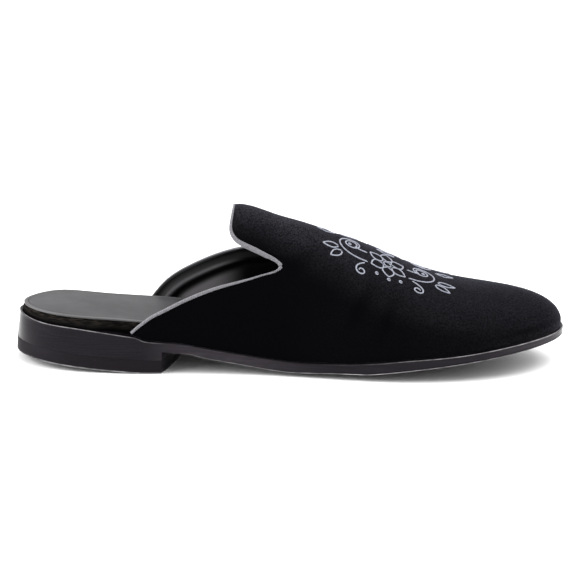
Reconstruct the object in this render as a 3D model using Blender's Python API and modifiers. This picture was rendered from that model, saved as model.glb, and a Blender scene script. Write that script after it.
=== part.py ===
"""A half loafer: a backless slip-on with a velvet upper, a bound topline, a leather sole and a low heel.

One right shoe. The toe points along +X, the outer (lateral) side faces -Y, and the heel and the tread
stand on z = 0. Sizes are millimetres in the shoe's own frame, whose x starts at the back of the heel
and whose y starts on the heel's middle line. The function `place` turns them into metres about the
middle of the shoe.
"""

import bmesh
import bpy
import numpy as np

OBJECT_NAME = "half_loafer"
MM = 0.001
GAP = 0.3

# Driving dimensions
LENGTH = 298.0
UPPER_WALL = 2.0
FEATHER_INSET = 1.6
FEATHER_LIFT = 0.5
BINDING_PROUD = 0.3
BINDING_CHAMFER = 0.3
BINDING_GAP = 0.5
BINDING_FOOT_LIFT = 1.4
TOP_LIFT_HEIGHT = 7.4
TOP_LIFT_BEVEL = 0.5
SOCK_THICKNESS = 1.2
SOCK_OVERHANG = 0.5
SOCK_DOME = 0.9
SOCK_EDGE_INSET = 0.3
SOCK_EDGE_DROP = 0.4
FOOTBED_CORNER = 0.8
FOOTBED_FOOT_INSET = 1.6
OPEN_HEEL_BACK, OPEN_HEEL_FRONT = 36.0, 52.0

# Outer edge of the sole seen from above
OUTLINE_COLUMNS = ("x", "lateral", "medial")
OUTLINE = (
    (0, -2.0, -2.0),
    (6, -18.0, 13.0),
    (20, -28.2, 26.2),
    (45, -33.4, 31.6),
    (75, -33.8, 30.8),
    (105, -33.6, 28.4),
    (135, -35.5, 28.8),
    (165, -40.3, 36.6),
    (190, -44.2, 46.6),
    (215, -45.4, 52.6),
    (240, -42.4, 51.8),
    (262, -35.4, 45.6),
    (280, -24.6, 34.6),
    (292, -12.4, 22.0),
    (298, 4.8, 4.8),
)

# Heights along the sole: its underside on the middle line, its top edge, and the top of the footbed
SOLE_COLUMNS = ("x", "underside", "top", "footbed")
SOLE = (
    (0, 22.0, 26.9, 31.2),
    (8, 20.4, 25.4, 30.9),
    (25, 18.6, 24.2, 30.2),
    (50, 15.8, 21.5, 28.4),
    (70, 13.2, 18.7, 26.6),
    (88, 9.6, 16.0, 24.2),
    (98, 6.8, 14.2, 22.2),
    (110, 4.7, 12.2, 19.2),
    (130, 1.6, 9.4, 14.6),
    (142, 0.3, 8.2, 12.9),
    (152, -0.3, 7.9, 12.2),
    (168, -0.6, 8.4, 12.2),
    (184, -0.1, 9.5, 13.0),
    (195, 1.0, 10.6, 14.0),
    (207, 2.6, 12.1, 15.4),
    (222, 4.5, 13.4, 16.9),
    (240, 6.7, 15.0, 18.8),
    (265, 9.7, 17.8, 21.4),
    (281, 11.4, 19.2, 23.1),
    (298, 12.9, 20.3, 24.8),
)

# How far the footbed's edge lies inside the sole's edge
FOOTBED_COLUMNS = ("x", "inset")
FOOTBED = (
    (0, 2.8),
    (14, 2.8),
    (24, 3.1),
    (44, 5.8),
    (60, 7.0),
    (80, 6.8),
    (120, 5.4),
    (180, 4.8),
    (250, 5.6),
    (298, 5.7),
)
# How far the footbed's medial edge is tipped up into the arch
ARCH_COLUMNS = ("x", "rise")
ARCH = (
    (0, 0.0),
    (20, -0.3),
    (35, -0.7),
    (50, -0.3),
    (72, 1.0),
    (86, 2.1),
    (98, 2.5),
    (115, 2.1),
    (135, 0.8),
    (150, 0.0),
    (298, 0.0),
)
ARCH_POWER = 1.4
SEAT_INSET = 1.0
CROWN_INSET = 14.0
CROWN_MIDDLE_INSET, CROWN_MIDDLE_RISE = 7.0, 1.5
CROWN_RISE = 3.4
CROWN_AT_WAIST = 0.65
CROWN_FULL_BACK, CROWN_FULL_FRONT = 140.0, 185.0
EDGE_BEVEL = 1.2
EDGE_BEVEL_SLOPE = 0.5
EDGE_LIP = 0.7
TREAD_EDGE_BACK, TREAD_EDGE_FRONT = 78.0, 94.0

# Front face of the heel: where it starts on the lateral edge, and how it bows forward across the shoe
BREAST_LATERAL_X = 76.5
BREAST_SLANT = 15.5
BREAST_BOW = 1.7
BREAST_FADE = 3

# The heel stands on its front part and rises a little off the floor towards its back
HEEL_BACK_RISE = 4.6
HEEL_FLAT_X = 66.0
HEEL_RISE_POWER = 1.1
HEEL_FLARE = 1.0

# Cross sections of the upper, as if it closed over the instep all the way back
SECTION_COLUMNS = ("x", "ridge_y", "ridge_z", "wall", "crown", "bulge")
SECTIONS = (
    (50, -1.0, 78.0, 0.56, 0.64, 0.0),
    (85, -0.5, 82.5, 0.56, 0.65, 0.0),
    (112, 0.0, 85.9, 0.56, 0.65, 0.5),
    (121, 0.2, 85.5, 0.56, 0.65, 0.5),
    (138, 0.8, 80.2, 0.55, 0.63, 0.8),
    (153, 1.6, 75.8, 0.54, 0.61, 1.1),
    (169, 2.5, 70.2, 0.53, 0.58, 1.5),
    (187, 3.6, 63.6, 0.51, 0.55, 2.0),
    (204, 4.6, 55.8, 0.50, 0.53, 2.4),
    (222, 5.4, 48.4, 0.50, 0.53, 2.6),
    (240, 6.0, 43.7, 0.52, 0.54, 2.6),
    (264, 6.0, 40.6, 0.55, 0.56, 2.4),
)
RIDGE_END_X = 264.0
FAN_START_X = 190.0

# Outer edge of the binding seen from the side, from the sole up to the notch and over the tongue
TOPLINE_COLUMNS = ("lateral_x", "lateral_z", "medial_x", "medial_z")
TOPLINE = (
    (56.4, 19.8, 66.4, 18.0),
    (62.0, 24.7, 70.0, 23.0),
    (67.0, 28.8, 74.2, 29.0),
    (75.2, 33.9, 78.6, 34.6),
    (91.0, 42.0, 91.0, 44.3),
    (107.0, 48.1, 107.0, 52.5),
    (122.9, 52.4, 121.0, 56.9),
    (132.5, 55.2, 131.0, 58.0),
    (137.0, 56.8, 135.6, 58.8),
    (138.6, 58.4, 137.0, 59.6),
    (136.9, 60.4, 135.6, 61.0),
    (131.8, 62.7, 131.6, 62.9),
    (125.5, 65.4, 126.4, 65.7),
    (119.0, 68.2, 120.8, 68.8),
    (114.3, 71.1, 116.8, 72.0),
    (111.7, 75.5, 114.8, 76.4),
    (112.1, 80.8, 114.5, 81.2),
)
TONGUE_TOP_X = 114.1

# Width of the binding at shares of its length, from the sole up to the ridge
BINDING_COLUMNS = ("share", "width")
BINDING = (
    (0.0, 1.3),
    (0.12, 1.5),
    (0.3, 1.75),
    (0.4, 1.6),
    (0.5, 1.1),
    (0.6, 1.1),
    (0.7, 2.4),
    (0.78, 2.5),
    (0.88, 1.5),
    (1.0, 1.3),
)

# Fineness of the faceted surfaces
DENSE = np.linspace(0.0, 1.0, 401)
SLAB_STATIONS = 40
SLAB_ACROSS = 4
HEEL_STATIONS = 14
UPPER_ROWS_BELOW_NOTCH = 10
UPPER_ROWS_ABOVE_NOTCH = 12
UPPER_COLUMNS_BACK = 10
UPPER_COLUMNS_FRONT = 20
UPPER_FIXED_X = 144.0
TOPLINE_SAMPLES = 241
NOTCH_CROWDING_BELOW = 2.0
NOTCH_CROWDING_ABOVE = 1.8
NOTCH_SEARCH_SHARE = 0.75
SLOPE_STEP = 1e-3
RIDGE_SLOPE_STEP = 1.0
WELD = 1e-6
SHARP_ANGLE_DEG = 40.0

# Search for the station of a point on the upper: first guess, rounds, largest steps, highest q
LOCATE_FIRST_Q = 0.4
LOCATE_ROUNDS = 30
LOCATE_STEP_T, LOCATE_STEP_Q = 0.05, 0.08
LOCATE_TOP_Q = 0.985

# Colour (linear RGB), roughness and metallic value of each piece
FINISHES = {
    "outsole": ((0.030, 0.029, 0.032), 0.42, 0.0),
    "heel_block": ((0.020, 0.020, 0.023), 0.32, 0.0),
    "heel_top_lift": ((0.014, 0.014, 0.015), 0.55, 0.0),
    "insole": ((0.020, 0.017, 0.014), 0.90, 0.0),
    "sock": ((0.085, 0.083, 0.086), 0.50, 0.0),
    "upper": ((0.006, 0.006, 0.008), 0.95, 0.0),
    "topline_binding": ((0.270, 0.265, 0.285), 0.80, 0.0),
}


def column(table, names, name):
    return np.array([row[names.index(name)] for row in table], float)


def spline(xs, ys):
    """The natural cubic spline through the points (xs, ys), as a function."""
    step = np.diff(xs)
    slope = np.diff(ys) / step
    count = len(xs)
    system = np.eye(count)
    right = np.zeros(count)
    for i in range(1, count - 1):
        system[i, i - 1 : i + 2] = step[i - 1], 2 * (step[i - 1] + step[i]), step[i]
        right[i] = 6 * (slope[i] - slope[i - 1])
    bend = np.linalg.solve(system, right)

    def value(x):
        i = np.clip(np.searchsorted(xs, x) - 1, 0, count - 2)
        before = xs[i + 1] - x
        after = x - xs[i]
        curved = (bend[i] * before**3 + bend[i + 1] * after**3) / (6 * step[i])
        left = (ys[i] / step[i] - bend[i] * step[i] / 6) * before
        return curved + left + (ys[i + 1] / step[i] - bend[i + 1] * step[i] / 6) * after

    return value


def turn(x):
    """Station (0 at the heel, 1 at the toe) at x, spaced so that both round ends get fine steps."""
    return np.arccos(1 - 2 * np.asarray(x, float) / LENGTH) / np.pi


def station_x(t):
    return LENGTH / 2 * (1 - np.cos(np.pi * np.asarray(t)))


def smooth_step(low, high, x):
    share = np.clip((x - low) / (high - low), 0, 1)
    return share * share * (3 - 2 * share)


def outline_sides():
    """For each side: plan points of the sole's edge at DENSE stations, and the inward directions there."""
    stations = turn(column(OUTLINE, OUTLINE_COLUMNS, "x"))
    x = station_x(DENSE)
    edges = []
    for side in ("lateral", "medial"):
        y = spline(stations, column(OUTLINE, OUTLINE_COLUMNS, side))(DENSE)
        edges.append(np.column_stack([x, y]))
    loop = np.vstack([edges[0], edges[1][-2:0:-1]])
    along = np.roll(loop, -1, axis=0) - np.roll(loop, 1, axis=0)
    inward = np.column_stack([-along[:, 1], along[:, 0]])
    inward /= np.linalg.norm(inward, axis=1)[:, None]
    last = len(DENSE) - 1
    medial_order = np.r_[0, np.arange(len(loop) - 1, last - 1, -1)]
    return {
        "lateral": (edges[0], inward[: last + 1]),
        "medial": (edges[1], inward[medial_order]),
    }


SIDES = outline_sides()
MIDDLE_X = (LENGTH - HEEL_FLARE) / 2
MIDDLE_Y = (SIDES["lateral"][0][:, 1].min() + SIDES["medial"][0][:, 1].max()) / 2

SOLE_X = column(SOLE, SOLE_COLUMNS, "x")
underside_curve = spline(SOLE_X, column(SOLE, SOLE_COLUMNS, "underside"))
sole_top_at = spline(SOLE_X, column(SOLE, SOLE_COLUMNS, "top"))
footbed_at = spline(SOLE_X, column(SOLE, SOLE_COLUMNS, "footbed"))
footbed_inset = spline(column(FOOTBED, FOOTBED_COLUMNS, "x"), column(FOOTBED, FOOTBED_COLUMNS, "inset"))
arch_at = spline(column(ARCH, ARCH_COLUMNS, "x"), column(ARCH, ARCH_COLUMNS, "rise"))
binding_width = spline(column(BINDING, BINDING_COLUMNS, "share"), column(BINDING, BINDING_COLUMNS, "width"))

SECTION_X = column(SECTIONS, SECTION_COLUMNS, "x")
section_at = {
    name: spline(SECTION_X, column(SECTIONS, SECTION_COLUMNS, name)) for name in SECTION_COLUMNS[1:]
}


def underside_at(x):
    """Height of the sole's underside. It lies flat on the floor along the tread."""
    return np.maximum(underside_curve(x), 0.0)


def edge(side, t, inset):
    """Plan points at the stations t on one side of the outline, moved inwards."""
    points, inward = SIDES[side]
    found = [np.interp(t, DENSE, points[:, k]) + inset * np.interp(t, DENSE, inward[:, k]) for k in (0, 1)]
    return np.stack(found, axis=-1)


def place(points):
    """Metres in the part's frame for millimetre points of the shoe's frame."""
    return (np.asarray(points, float) - (MIDDLE_X, MIDDLE_Y, 0.0)) * MM


def finish_of(name):
    colour, roughness, metallic = FINISHES[name]
    finish = bpy.data.materials.new(name)
    finish.use_nodes = True
    finish.diffuse_color = (*colour, 1.0)
    shader = finish.node_tree.nodes["Principled BSDF"]
    shader.inputs["Base Color"].default_value = (*colour, 1.0)
    shader.inputs["Roughness"].default_value = roughness
    shader.inputs["Metallic"].default_value = metallic
    return finish


def add_object(name, shape, collection):
    """A smooth-shaded object from a bmesh, in the collection."""
    mesh = bpy.data.meshes.new(name)
    shape.to_mesh(mesh)
    shape.free()
    mesh.shade_smooth()
    mesh.set_sharp_from_angle(angle=np.radians(SHARP_ANGLE_DEG))
    mesh.materials.append(finish_of(name))
    piece = bpy.data.objects.new(name, mesh)
    collection.objects.link(piece)
    return piece


def rim_of(rows, columns):
    """Row and column of each point round the edge of a grid."""
    rim = [(i, 0) for i in range(rows)]
    rim += [(rows - 1, j) for j in range(1, columns)]
    rim += [(i, columns - 1) for i in range(rows - 2, -1, -1)]
    return rim + [(0, j) for j in range(columns - 2, 0, -1)]


def add_layers(name, layers, collection):
    """A closed solid through a stack of grids: the first and last are its faces, the rims its sides."""
    rows, columns = layers[0].shape[:2]
    rim = rim_of(rows, columns)
    shape = bmesh.new()
    rings = []
    for level, layer in enumerate(layers):
        points = place(layer)
        if level in (0, len(layers) - 1):
            grid = [[shape.verts.new(points[i, j]) for j in range(columns)] for i in range(rows)]
            for i in range(rows - 1):
                for j in range(columns - 1):
                    shape.faces.new((grid[i][j], grid[i][j + 1], grid[i + 1][j + 1], grid[i + 1][j]))
            rings.append([grid[i][j] for i, j in rim])
        else:
            rings.append([shape.verts.new(points[i, j]) for i, j in rim])
    for lower, upper in zip(rings, rings[1:]):
        for k in range(len(rim)):
            after = (k + 1) % len(rim)
            shape.faces.new((lower[k], lower[after], upper[after], upper[k]))
    bmesh.ops.remove_doubles(shape, verts=shape.verts, dist=WELD)
    bmesh.ops.recalc_face_normals(shape, faces=shape.faces)
    return add_object(name, shape, collection)


def plan_grid(t, inset, across):
    """Plan points in rows across the outline, one row for each station."""
    lateral = edge("lateral", t, inset)[:, None]
    medial = edge("medial", t, inset)[:, None]
    share = np.linspace(0, 1, across + 1)[None, :, None]
    return lateral * (1 - share) + medial * share


def raised(plan, height):
    """A plan grid with its heights. `height` is a function of x, or an array that fits the grid."""
    z = height(plan[..., 0]) if callable(height) else height
    return np.dstack([plan, z])


def add_outsole(collection):
    t = np.linspace(0, 1, SLAB_STATIONS + 1)

    def rounding(x):
        return smooth_step(TREAD_EDGE_BACK, TREAD_EDGE_FRONT, x)

    def crown_share(x):
        full = smooth_step(CROWN_FULL_BACK, CROWN_FULL_FRONT, x)
        return rounding(x) * (CROWN_AT_WAIST + (1 - CROWN_AT_WAIST) * full)

    layers = []
    crown_inset = SEAT_INSET + (CROWN_INSET - SEAT_INSET) * rounding(station_x(t))
    layers.append(raised(plan_grid(t, crown_inset, SLAB_ACROSS), underside_at))
    bevel_inset = EDGE_BEVEL_SLOPE * EDGE_BEVEL * rounding(station_x(t))
    middle_inset = SEAT_INSET + (CROWN_MIDDLE_INSET - SEAT_INSET) * rounding(station_x(t))
    rings = (
        (middle_inset, CROWN_MIDDLE_RISE),
        (bevel_inset, CROWN_RISE),
        (0.0 * t, CROWN_RISE + EDGE_BEVEL),
    )
    for inset, rise in rings:
        plan = plan_grid(t, inset, SLAB_ACROSS)
        x = plan[..., 0]
        layers.append(raised(plan, underside_at(x) + rise * crown_share(x)))
    plan = plan_grid(t, 0.0, SLAB_ACROSS)
    layers.append(raised(plan, sole_top_at(plan[..., 0]) - EDGE_LIP))
    layers.append(raised(plan_grid(t, EDGE_LIP, SLAB_ACROSS), sole_top_at))
    return add_layers("outsole", layers, collection)


def heel_grid(inset, flare=0.0):
    """Plan points of the heel from its back to its slanted, bowed front face, flared all round but there."""
    share = np.linspace(0, 1, 2 * SLAB_ACROSS + 1)
    front = BREAST_LATERAL_X + BREAST_SLANT * (1 - (1 - share) ** BREAST_BOW) - inset
    lateral_t = turn(front[0]) * np.linspace(0, 1, HEEL_STATIONS + 1)
    medial_t = turn(front[-1]) * np.linspace(0, 1, HEEL_STATIONS + 1)
    lateral = edge("lateral", lateral_t, inset - flare)
    medial = edge("medial", medial_t, inset - flare)
    grid = lateral[:, None] * (1 - share[None, :, None]) + medial[:, None] * share[None, :, None]
    straight = front[0] * (1 - share) + front[-1] * share
    weight = (np.linspace(0, 1, HEEL_STATIONS + 1) ** BREAST_FADE)[:, None]
    grid[..., 0] += weight * (front - straight)[None, :]
    return grid


def heel_rise(x):
    """Height of the heel's underside over the floor."""
    return HEEL_BACK_RISE * np.clip(1 - x / HEEL_FLAT_X, 0, 1) ** HEEL_RISE_POWER


def add_heel_block(collection):
    layers = (
        raised(heel_grid(0.0, HEEL_FLARE), lambda x: heel_rise(x) + TOP_LIFT_HEIGHT + GAP),
        raised(heel_grid(0.0), lambda x: underside_at(x) - GAP),
    )
    return add_layers("heel_block", layers, collection)


def add_heel_top_lift(collection):
    layers = (
        raised(heel_grid(TOP_LIFT_BEVEL, HEEL_FLARE), heel_rise),
        raised(heel_grid(0.0, HEEL_FLARE), lambda x: heel_rise(x) + TOP_LIFT_BEVEL),
        raised(heel_grid(0.0, HEEL_FLARE), lambda x: heel_rise(x) + TOP_LIFT_HEIGHT),
    )
    return add_layers("heel_top_lift", layers, collection)


def inside_upper(x):
    """0 at the open heel, 1 where the footbed lies between the upper's walls."""
    return smooth_step(OPEN_HEEL_BACK, OPEN_HEEL_FRONT, x)


def footbed_surface(plan):
    """Heights of the footbed over a plan grid, with its medial edge tipped up into the arch."""
    share = np.linspace(-1, 1, plan.shape[1])
    return footbed_at(plan[..., 0]) + arch_at(plan[..., 0]) * np.clip(share, 0, 1) ** ARCH_POWER


def add_insole(collection):
    t = np.linspace(0, 1, SLAB_STATIONS + 1)
    inset = footbed_inset(station_x(t))
    foot_inset = inset + (FOOTBED_FOOT_INSET - inset) * (1 - inside_upper(station_x(t)))
    wall = plan_grid(t, inset, SLAB_ACROSS)
    top = plan_grid(t, inset + FOOTBED_CORNER, SLAB_ACROSS)
    drop = SOCK_THICKNESS + GAP
    layers = (
        raised(plan_grid(t, foot_inset, SLAB_ACROSS), lambda x: sole_top_at(x) + GAP),
        raised(wall, footbed_surface(wall) - drop - FOOTBED_CORNER),
        raised(top, footbed_surface(top) - drop),
    )
    return add_layers("insole", layers, collection)


def add_sock(collection):
    t = np.linspace(0, 1, SLAB_STATIONS + 1)
    x_row = station_x(t)
    inset = footbed_inset(x_row) - SOCK_OVERHANG * (1 - inside_upper(x_row))
    share = np.linspace(-1, 1, 2 * SLAB_ACROSS + 1)
    dome = SOCK_DOME * (1 - share**2) * np.sqrt(np.sin(np.pi * t))[:, None]
    bottom = plan_grid(t, inset, 2 * SLAB_ACROSS)
    top = plan_grid(t, inset + SOCK_EDGE_INSET, 2 * SLAB_ACROSS)
    layers = (
        raised(bottom, footbed_surface(bottom) - SOCK_THICKNESS),
        raised(bottom, footbed_surface(bottom) - SOCK_EDGE_DROP),
        raised(top, footbed_surface(top) + dome),
    )
    return add_layers("sock", layers, collection)


FAN_START = float(turn(FAN_START_X))
FAN_RATE = LENGTH / 2 * np.pi * np.sin(np.pi * FAN_START) * (1 - FAN_START) / (RIDGE_END_X - FAN_START_X)


def ridge_x(t):
    """Where the profile of station t meets the ridge. Past the ball the profiles fan round the toe."""
    if t <= FAN_START:
        return float(station_x(t))
    left = (1 - t) / (1 - FAN_START)
    return FAN_START_X + (RIDGE_END_X - FAN_START_X) * (1 - left**FAN_RATE)


def upper_point(side, t, q):
    """A point on the outside of the upper: q runs from 0 at the sole to 1 on the ridge."""
    plan = edge(side, t, FEATHER_INSET)
    foot = np.array([plan[0], plan[1], sole_top_at(plan[0]) + FEATHER_LIFT])
    x = ridge_x(t)
    ridge = np.array([x, section_at["ridge_y"](x), section_at["ridge_z"](x)])
    outward = np.array([foot[0] - ridge[0], foot[1] - ridge[1], 0.0])
    reach = np.linalg.norm(outward)
    outward /= reach
    rise = section_at["ridge_z"](x + RIDGE_SLOPE_STEP) - section_at["ridge_z"](x - RIDGE_SLOPE_STEP)
    slope = rise / (2 * RIDGE_SLOPE_STEP)
    wall_handle = foot + outward * section_at["bulge"](x)
    wall_handle[2] += section_at["wall"](x) * (ridge[2] - foot[2])
    crown = section_at["crown"](x) * reach
    crown_handle = ridge + outward * crown
    crown_handle[2] += slope * outward[0] * crown
    p = 1 - q
    return p**3 * foot + 3 * p * p * q * wall_handle + 3 * p * q * q * crown_handle + q**3 * ridge


def surface_frame(side, t, q):
    """The point at (t, q), its two slopes, and the outward direction there."""
    point = upper_point(side, t, q)
    along = (upper_point(side, t + SLOPE_STEP, q) - upper_point(side, t - SLOPE_STEP, q)) / (2 * SLOPE_STEP)
    up = (upper_point(side, t, q + SLOPE_STEP) - upper_point(side, t, q - SLOPE_STEP)) / (2 * SLOPE_STEP)
    normal = np.cross(along, up) if side == "lateral" else np.cross(up, along)
    return point, along, up, normal / np.linalg.norm(normal)


def locate(side, x, z):
    """The (t, q) whose surface point is seen from the side at (x, z)."""
    t = float(turn(x))
    q = LOCATE_FIRST_Q
    for _ in range(LOCATE_ROUNDS):
        point, along, up, _ = surface_frame(side, t, q)
        slopes = np.array([[along[0], up[0]], [along[2], up[2]]])
        change = np.linalg.solve(slopes, [x - point[0], z - point[2]])
        t += np.clip(change[0], -LOCATE_STEP_T, LOCATE_STEP_T)
        q += np.clip(change[1], -LOCATE_STEP_Q, LOCATE_STEP_Q)
        q = min(q, LOCATE_TOP_Q)
    return t, q


def topline_of(side):
    """Stations (t, q) along the outer edge of the binding, the last one on the ridge."""
    seen = [column(TOPLINE, TOPLINE_COLUMNS, f"{side}_{axis}") for axis in "xz"]
    stops = [locate(side, x, z) for x, z in zip(*seen)]
    stops.append((float(turn(TONGUE_TOP_X)), 1.0))
    points = np.array([upper_point(side, t, q) for t, q in stops])
    length = np.r_[0, np.cumsum(np.linalg.norm(np.diff(points, axis=0), axis=1))]
    fine = np.linspace(0, length[-1], TOPLINE_SAMPLES)
    stops = np.array(stops)
    return np.column_stack([spline(length, stops[:, k])(fine) for k in (0, 1)])


def moved_in(side, line, distances):
    """The line of stations moved across the surface, away from the opening."""
    points = np.array([upper_point(side, t, q) for t, q in line])
    tangents = np.gradient(points, axis=0)
    moved = []
    for (t, q), tangent, distance in zip(line, tangents, distances):
        _, along, up, normal = surface_frame(side, t, q)
        across = np.cross(tangent, normal) if side == "lateral" else np.cross(normal, tangent)
        across *= distance / np.linalg.norm(across)
        change = np.linalg.lstsq(np.column_stack([along, up]), across, rcond=None)[0]
        moved.append((t + change[0], q + change[1]))
    return np.array(moved)


def upper_border(side):
    """Stations (t, q) along the cut edge of the upper, under the inner edge of the binding."""
    cover = binding_width(np.linspace(0, 1, TOPLINE_SAMPLES)) + BINDING_GAP
    border = moved_in(side, topline_of(side), cover)
    border[:, 1] = np.minimum(np.maximum.accumulate(border[:, 1]), 1.0)
    border[-1] = float(turn(TONGUE_TOP_X + cover[-1])), 1.0
    return border


def row_heights():
    """The q of each row of the upper, with rows close together at the notch."""
    border = upper_border("lateral")
    share = np.linspace(0, 1, len(border))
    start = np.interp(0.0, border[:, 1], share)
    notch = share[np.argmax(border[share < NOTCH_SEARCH_SHARE, 0])]
    below = np.linspace(0, 1, UPPER_ROWS_BELOW_NOTCH + 1)
    above = np.linspace(0, 1, UPPER_ROWS_ABOVE_NOTCH + 1)[1:]
    lower_stops = start + (notch - start) * (1 - (1 - below) ** NOTCH_CROWDING_BELOW)
    upper_stops = notch + (1 - notch) * above**NOTCH_CROWDING_ABOVE
    return np.interp(np.r_[lower_stops, upper_stops], share, border[:, 1])


def upper_grid(side, heights):
    """Points of the upper's outside: one row for each q, from the topline to the toe."""
    border = upper_border(side)
    fixed = float(turn(UPPER_FIXED_X))
    back = np.linspace(0, 1, UPPER_COLUMNS_BACK + 1)[:-1]
    front = np.linspace(fixed, 1.0, UPPER_COLUMNS_FRONT + 1)
    grid = []
    for q in heights:
        start = np.interp(q, border[:, 1], border[:, 0])
        stations = np.r_[start + (fixed - start) * back, front]
        grid.append([upper_point(side, t, q) for t in stations])
    return np.array(grid)


def add_upper(collection):
    shape = bmesh.new()
    heights = row_heights()
    for side in SIDES:
        points = place(upper_grid(side, heights))
        grid = [[shape.verts.new(point) for point in row] for row in points]
        for low, high in zip(grid, grid[1:]):
            for i in range(len(low) - 1):
                corners = (low[i], low[i + 1], high[i + 1], high[i])
                shape.faces.new(corners if side == "lateral" else corners[::-1])
    bmesh.ops.remove_doubles(shape, verts=shape.verts, dist=WELD)
    piece = add_object("upper", shape, collection)
    wall = piece.modifiers.new("Wall", "SOLIDIFY")
    wall.thickness = UPPER_WALL * MM
    wall.offset = -1.0
    wall.use_even_offset = True
    return piece


def binding_section(side, station, width, tangent):
    """Eight points round the binding: flat sides, cut corners, a little proud of the upper."""
    point, _, _, normal = surface_frame(side, *station)
    tangent = tangent / np.linalg.norm(tangent)
    normal = normal - tangent * (normal @ tangent)
    normal /= np.linalg.norm(normal)
    across = np.cross(tangent, normal)
    half_width = width / 2
    half_depth = UPPER_WALL / 2 + BINDING_PROUD
    cut = BINDING_CHAMFER
    corners = (
        (half_width, half_depth - cut),
        (half_width - cut, half_depth),
        (cut - half_width, half_depth),
        (-half_width, half_depth - cut),
        (-half_width, cut - half_depth),
        (cut - half_width, -half_depth),
        (half_width - cut, -half_depth),
        (half_width, cut - half_depth),
    )
    middle = point - normal * UPPER_WALL / 2
    return [middle + across * a + normal * b for a, b in corners]


def binding_path(side, heights):
    """Stations and widths along the binding: one at each row of the upper, and one between two rows."""
    share = np.linspace(0, 1, TOPLINE_SAMPLES)
    middle = moved_in(side, topline_of(side), binding_width(share) / 2)
    middle[-1, 1] = 1.0
    points = np.array([upper_point(side, t, q) for t, q in middle])
    lift = points[:, 2] - sole_top_at(points[:, 0])
    first = share[np.argmax(lift > BINDING_FOOT_LIFT)]
    rows = np.interp(heights, upper_border(side)[:, 1], share)
    rows[-1] = 1.0
    stops = np.sort(np.r_[rows, (rows[1:] + rows[:-1]) / 2])
    stops = np.r_[first, stops[stops > first]]
    stations = [tuple(np.interp(stop, share, middle[:, k]) for k in (0, 1)) for stop in stops]
    return list(zip(stations, binding_width(stops)))


def add_binding(collection):
    heights = row_heights()
    stations = [("lateral", *stop) for stop in binding_path("lateral", heights)]
    stations += [("medial", *stop) for stop in binding_path("medial", heights)[-2::-1]]
    points = np.array([upper_point(side, *station) for side, station, _ in stations])
    tangents = np.gradient(points, axis=0)
    shape = bmesh.new()
    rings = []
    for (side, station, width), tangent in zip(stations, tangents):
        section = place(binding_section(side, station, width, tangent))
        rings.append([shape.verts.new(point) for point in section])
    for ring, after in zip(rings, rings[1:]):
        for k in range(len(ring)):
            following = (k + 1) % len(ring)
            shape.faces.new((ring[k], ring[following], after[following], after[k]))
    shape.faces.new(rings[0])
    shape.faces.new(rings[-1])
    bmesh.ops.recalc_face_normals(shape, faces=shape.faces)
    return add_object("topline_binding", shape, collection)


def main():
    for old in list(bpy.data.objects):
        bpy.data.objects.remove(old, do_unlink=True)
    collection = bpy.data.collections.new(OBJECT_NAME)
    bpy.context.scene.collection.children.link(collection)
    add_outsole(collection)
    add_heel_block(collection)
    add_heel_top_lift(collection)
    add_insole(collection)
    add_sock(collection)
    add_upper(collection)
    add_binding(collection)


main()
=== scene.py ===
"""Looks of the half loafer: velvet, lining, grosgrain, thread, leather and rubber on the frame of its solids.

Sizes are millimetres in the shoe's own frame: x from the back of the heel, y from the heel's middle line with
the outer (lateral) side negative, z up from the floor. The function `place` turns them into metres.
"""

import bmesh
import bpy
import numpy as np
from mathutils import Matrix


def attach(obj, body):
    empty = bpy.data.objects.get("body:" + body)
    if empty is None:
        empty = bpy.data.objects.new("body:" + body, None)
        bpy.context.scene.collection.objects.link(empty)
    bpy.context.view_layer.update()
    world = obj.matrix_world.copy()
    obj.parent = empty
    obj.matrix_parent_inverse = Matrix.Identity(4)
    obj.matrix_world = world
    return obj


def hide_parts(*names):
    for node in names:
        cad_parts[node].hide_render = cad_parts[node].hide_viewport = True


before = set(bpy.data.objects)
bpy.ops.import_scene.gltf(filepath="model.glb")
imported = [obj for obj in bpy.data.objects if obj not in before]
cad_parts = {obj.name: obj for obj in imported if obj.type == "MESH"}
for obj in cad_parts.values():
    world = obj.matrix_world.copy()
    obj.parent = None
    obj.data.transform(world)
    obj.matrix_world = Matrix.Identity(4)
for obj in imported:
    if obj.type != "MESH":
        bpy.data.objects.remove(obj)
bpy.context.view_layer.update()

MM = 0.001
BODY = "root"
SHADE = "shade"

# Driving dimensions, as in the part's source
LENGTH = 298.0
UPPER_WALL = 2.0
FEATHER_INSET = 1.6
FEATHER_LIFT = 0.5
BINDING_PROUD = 0.3
BINDING_FOOT_LIFT = 1.4
TOP_LIFT_HEIGHT = 7.4
SOCK_THICKNESS = 1.2
SOCK_OVERHANG = 0.5
SOCK_DOME = 0.9
FOOTBED_FOOT_INSET = 1.6
OPEN_HEEL_BACK, OPEN_HEEL_FRONT = 36.0, 52.0
FOOTBED_CLEARANCE = 0.05

# Outer edge of the sole seen from above
OUTLINE_COLUMNS = ("x", "lateral", "medial")
OUTLINE = (
    (0, -2.0, -2.0),
    (6, -18.0, 13.0),
    (20, -28.2, 26.2),
    (45, -33.4, 31.6),
    (75, -33.8, 30.8),
    (105, -33.6, 28.4),
    (135, -35.5, 28.8),
    (165, -40.3, 36.6),
    (190, -44.2, 46.6),
    (215, -45.4, 52.6),
    (240, -42.4, 51.8),
    (262, -35.4, 45.6),
    (280, -24.6, 34.6),
    (292, -12.4, 22.0),
    (298, 4.8, 4.8),
)

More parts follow.
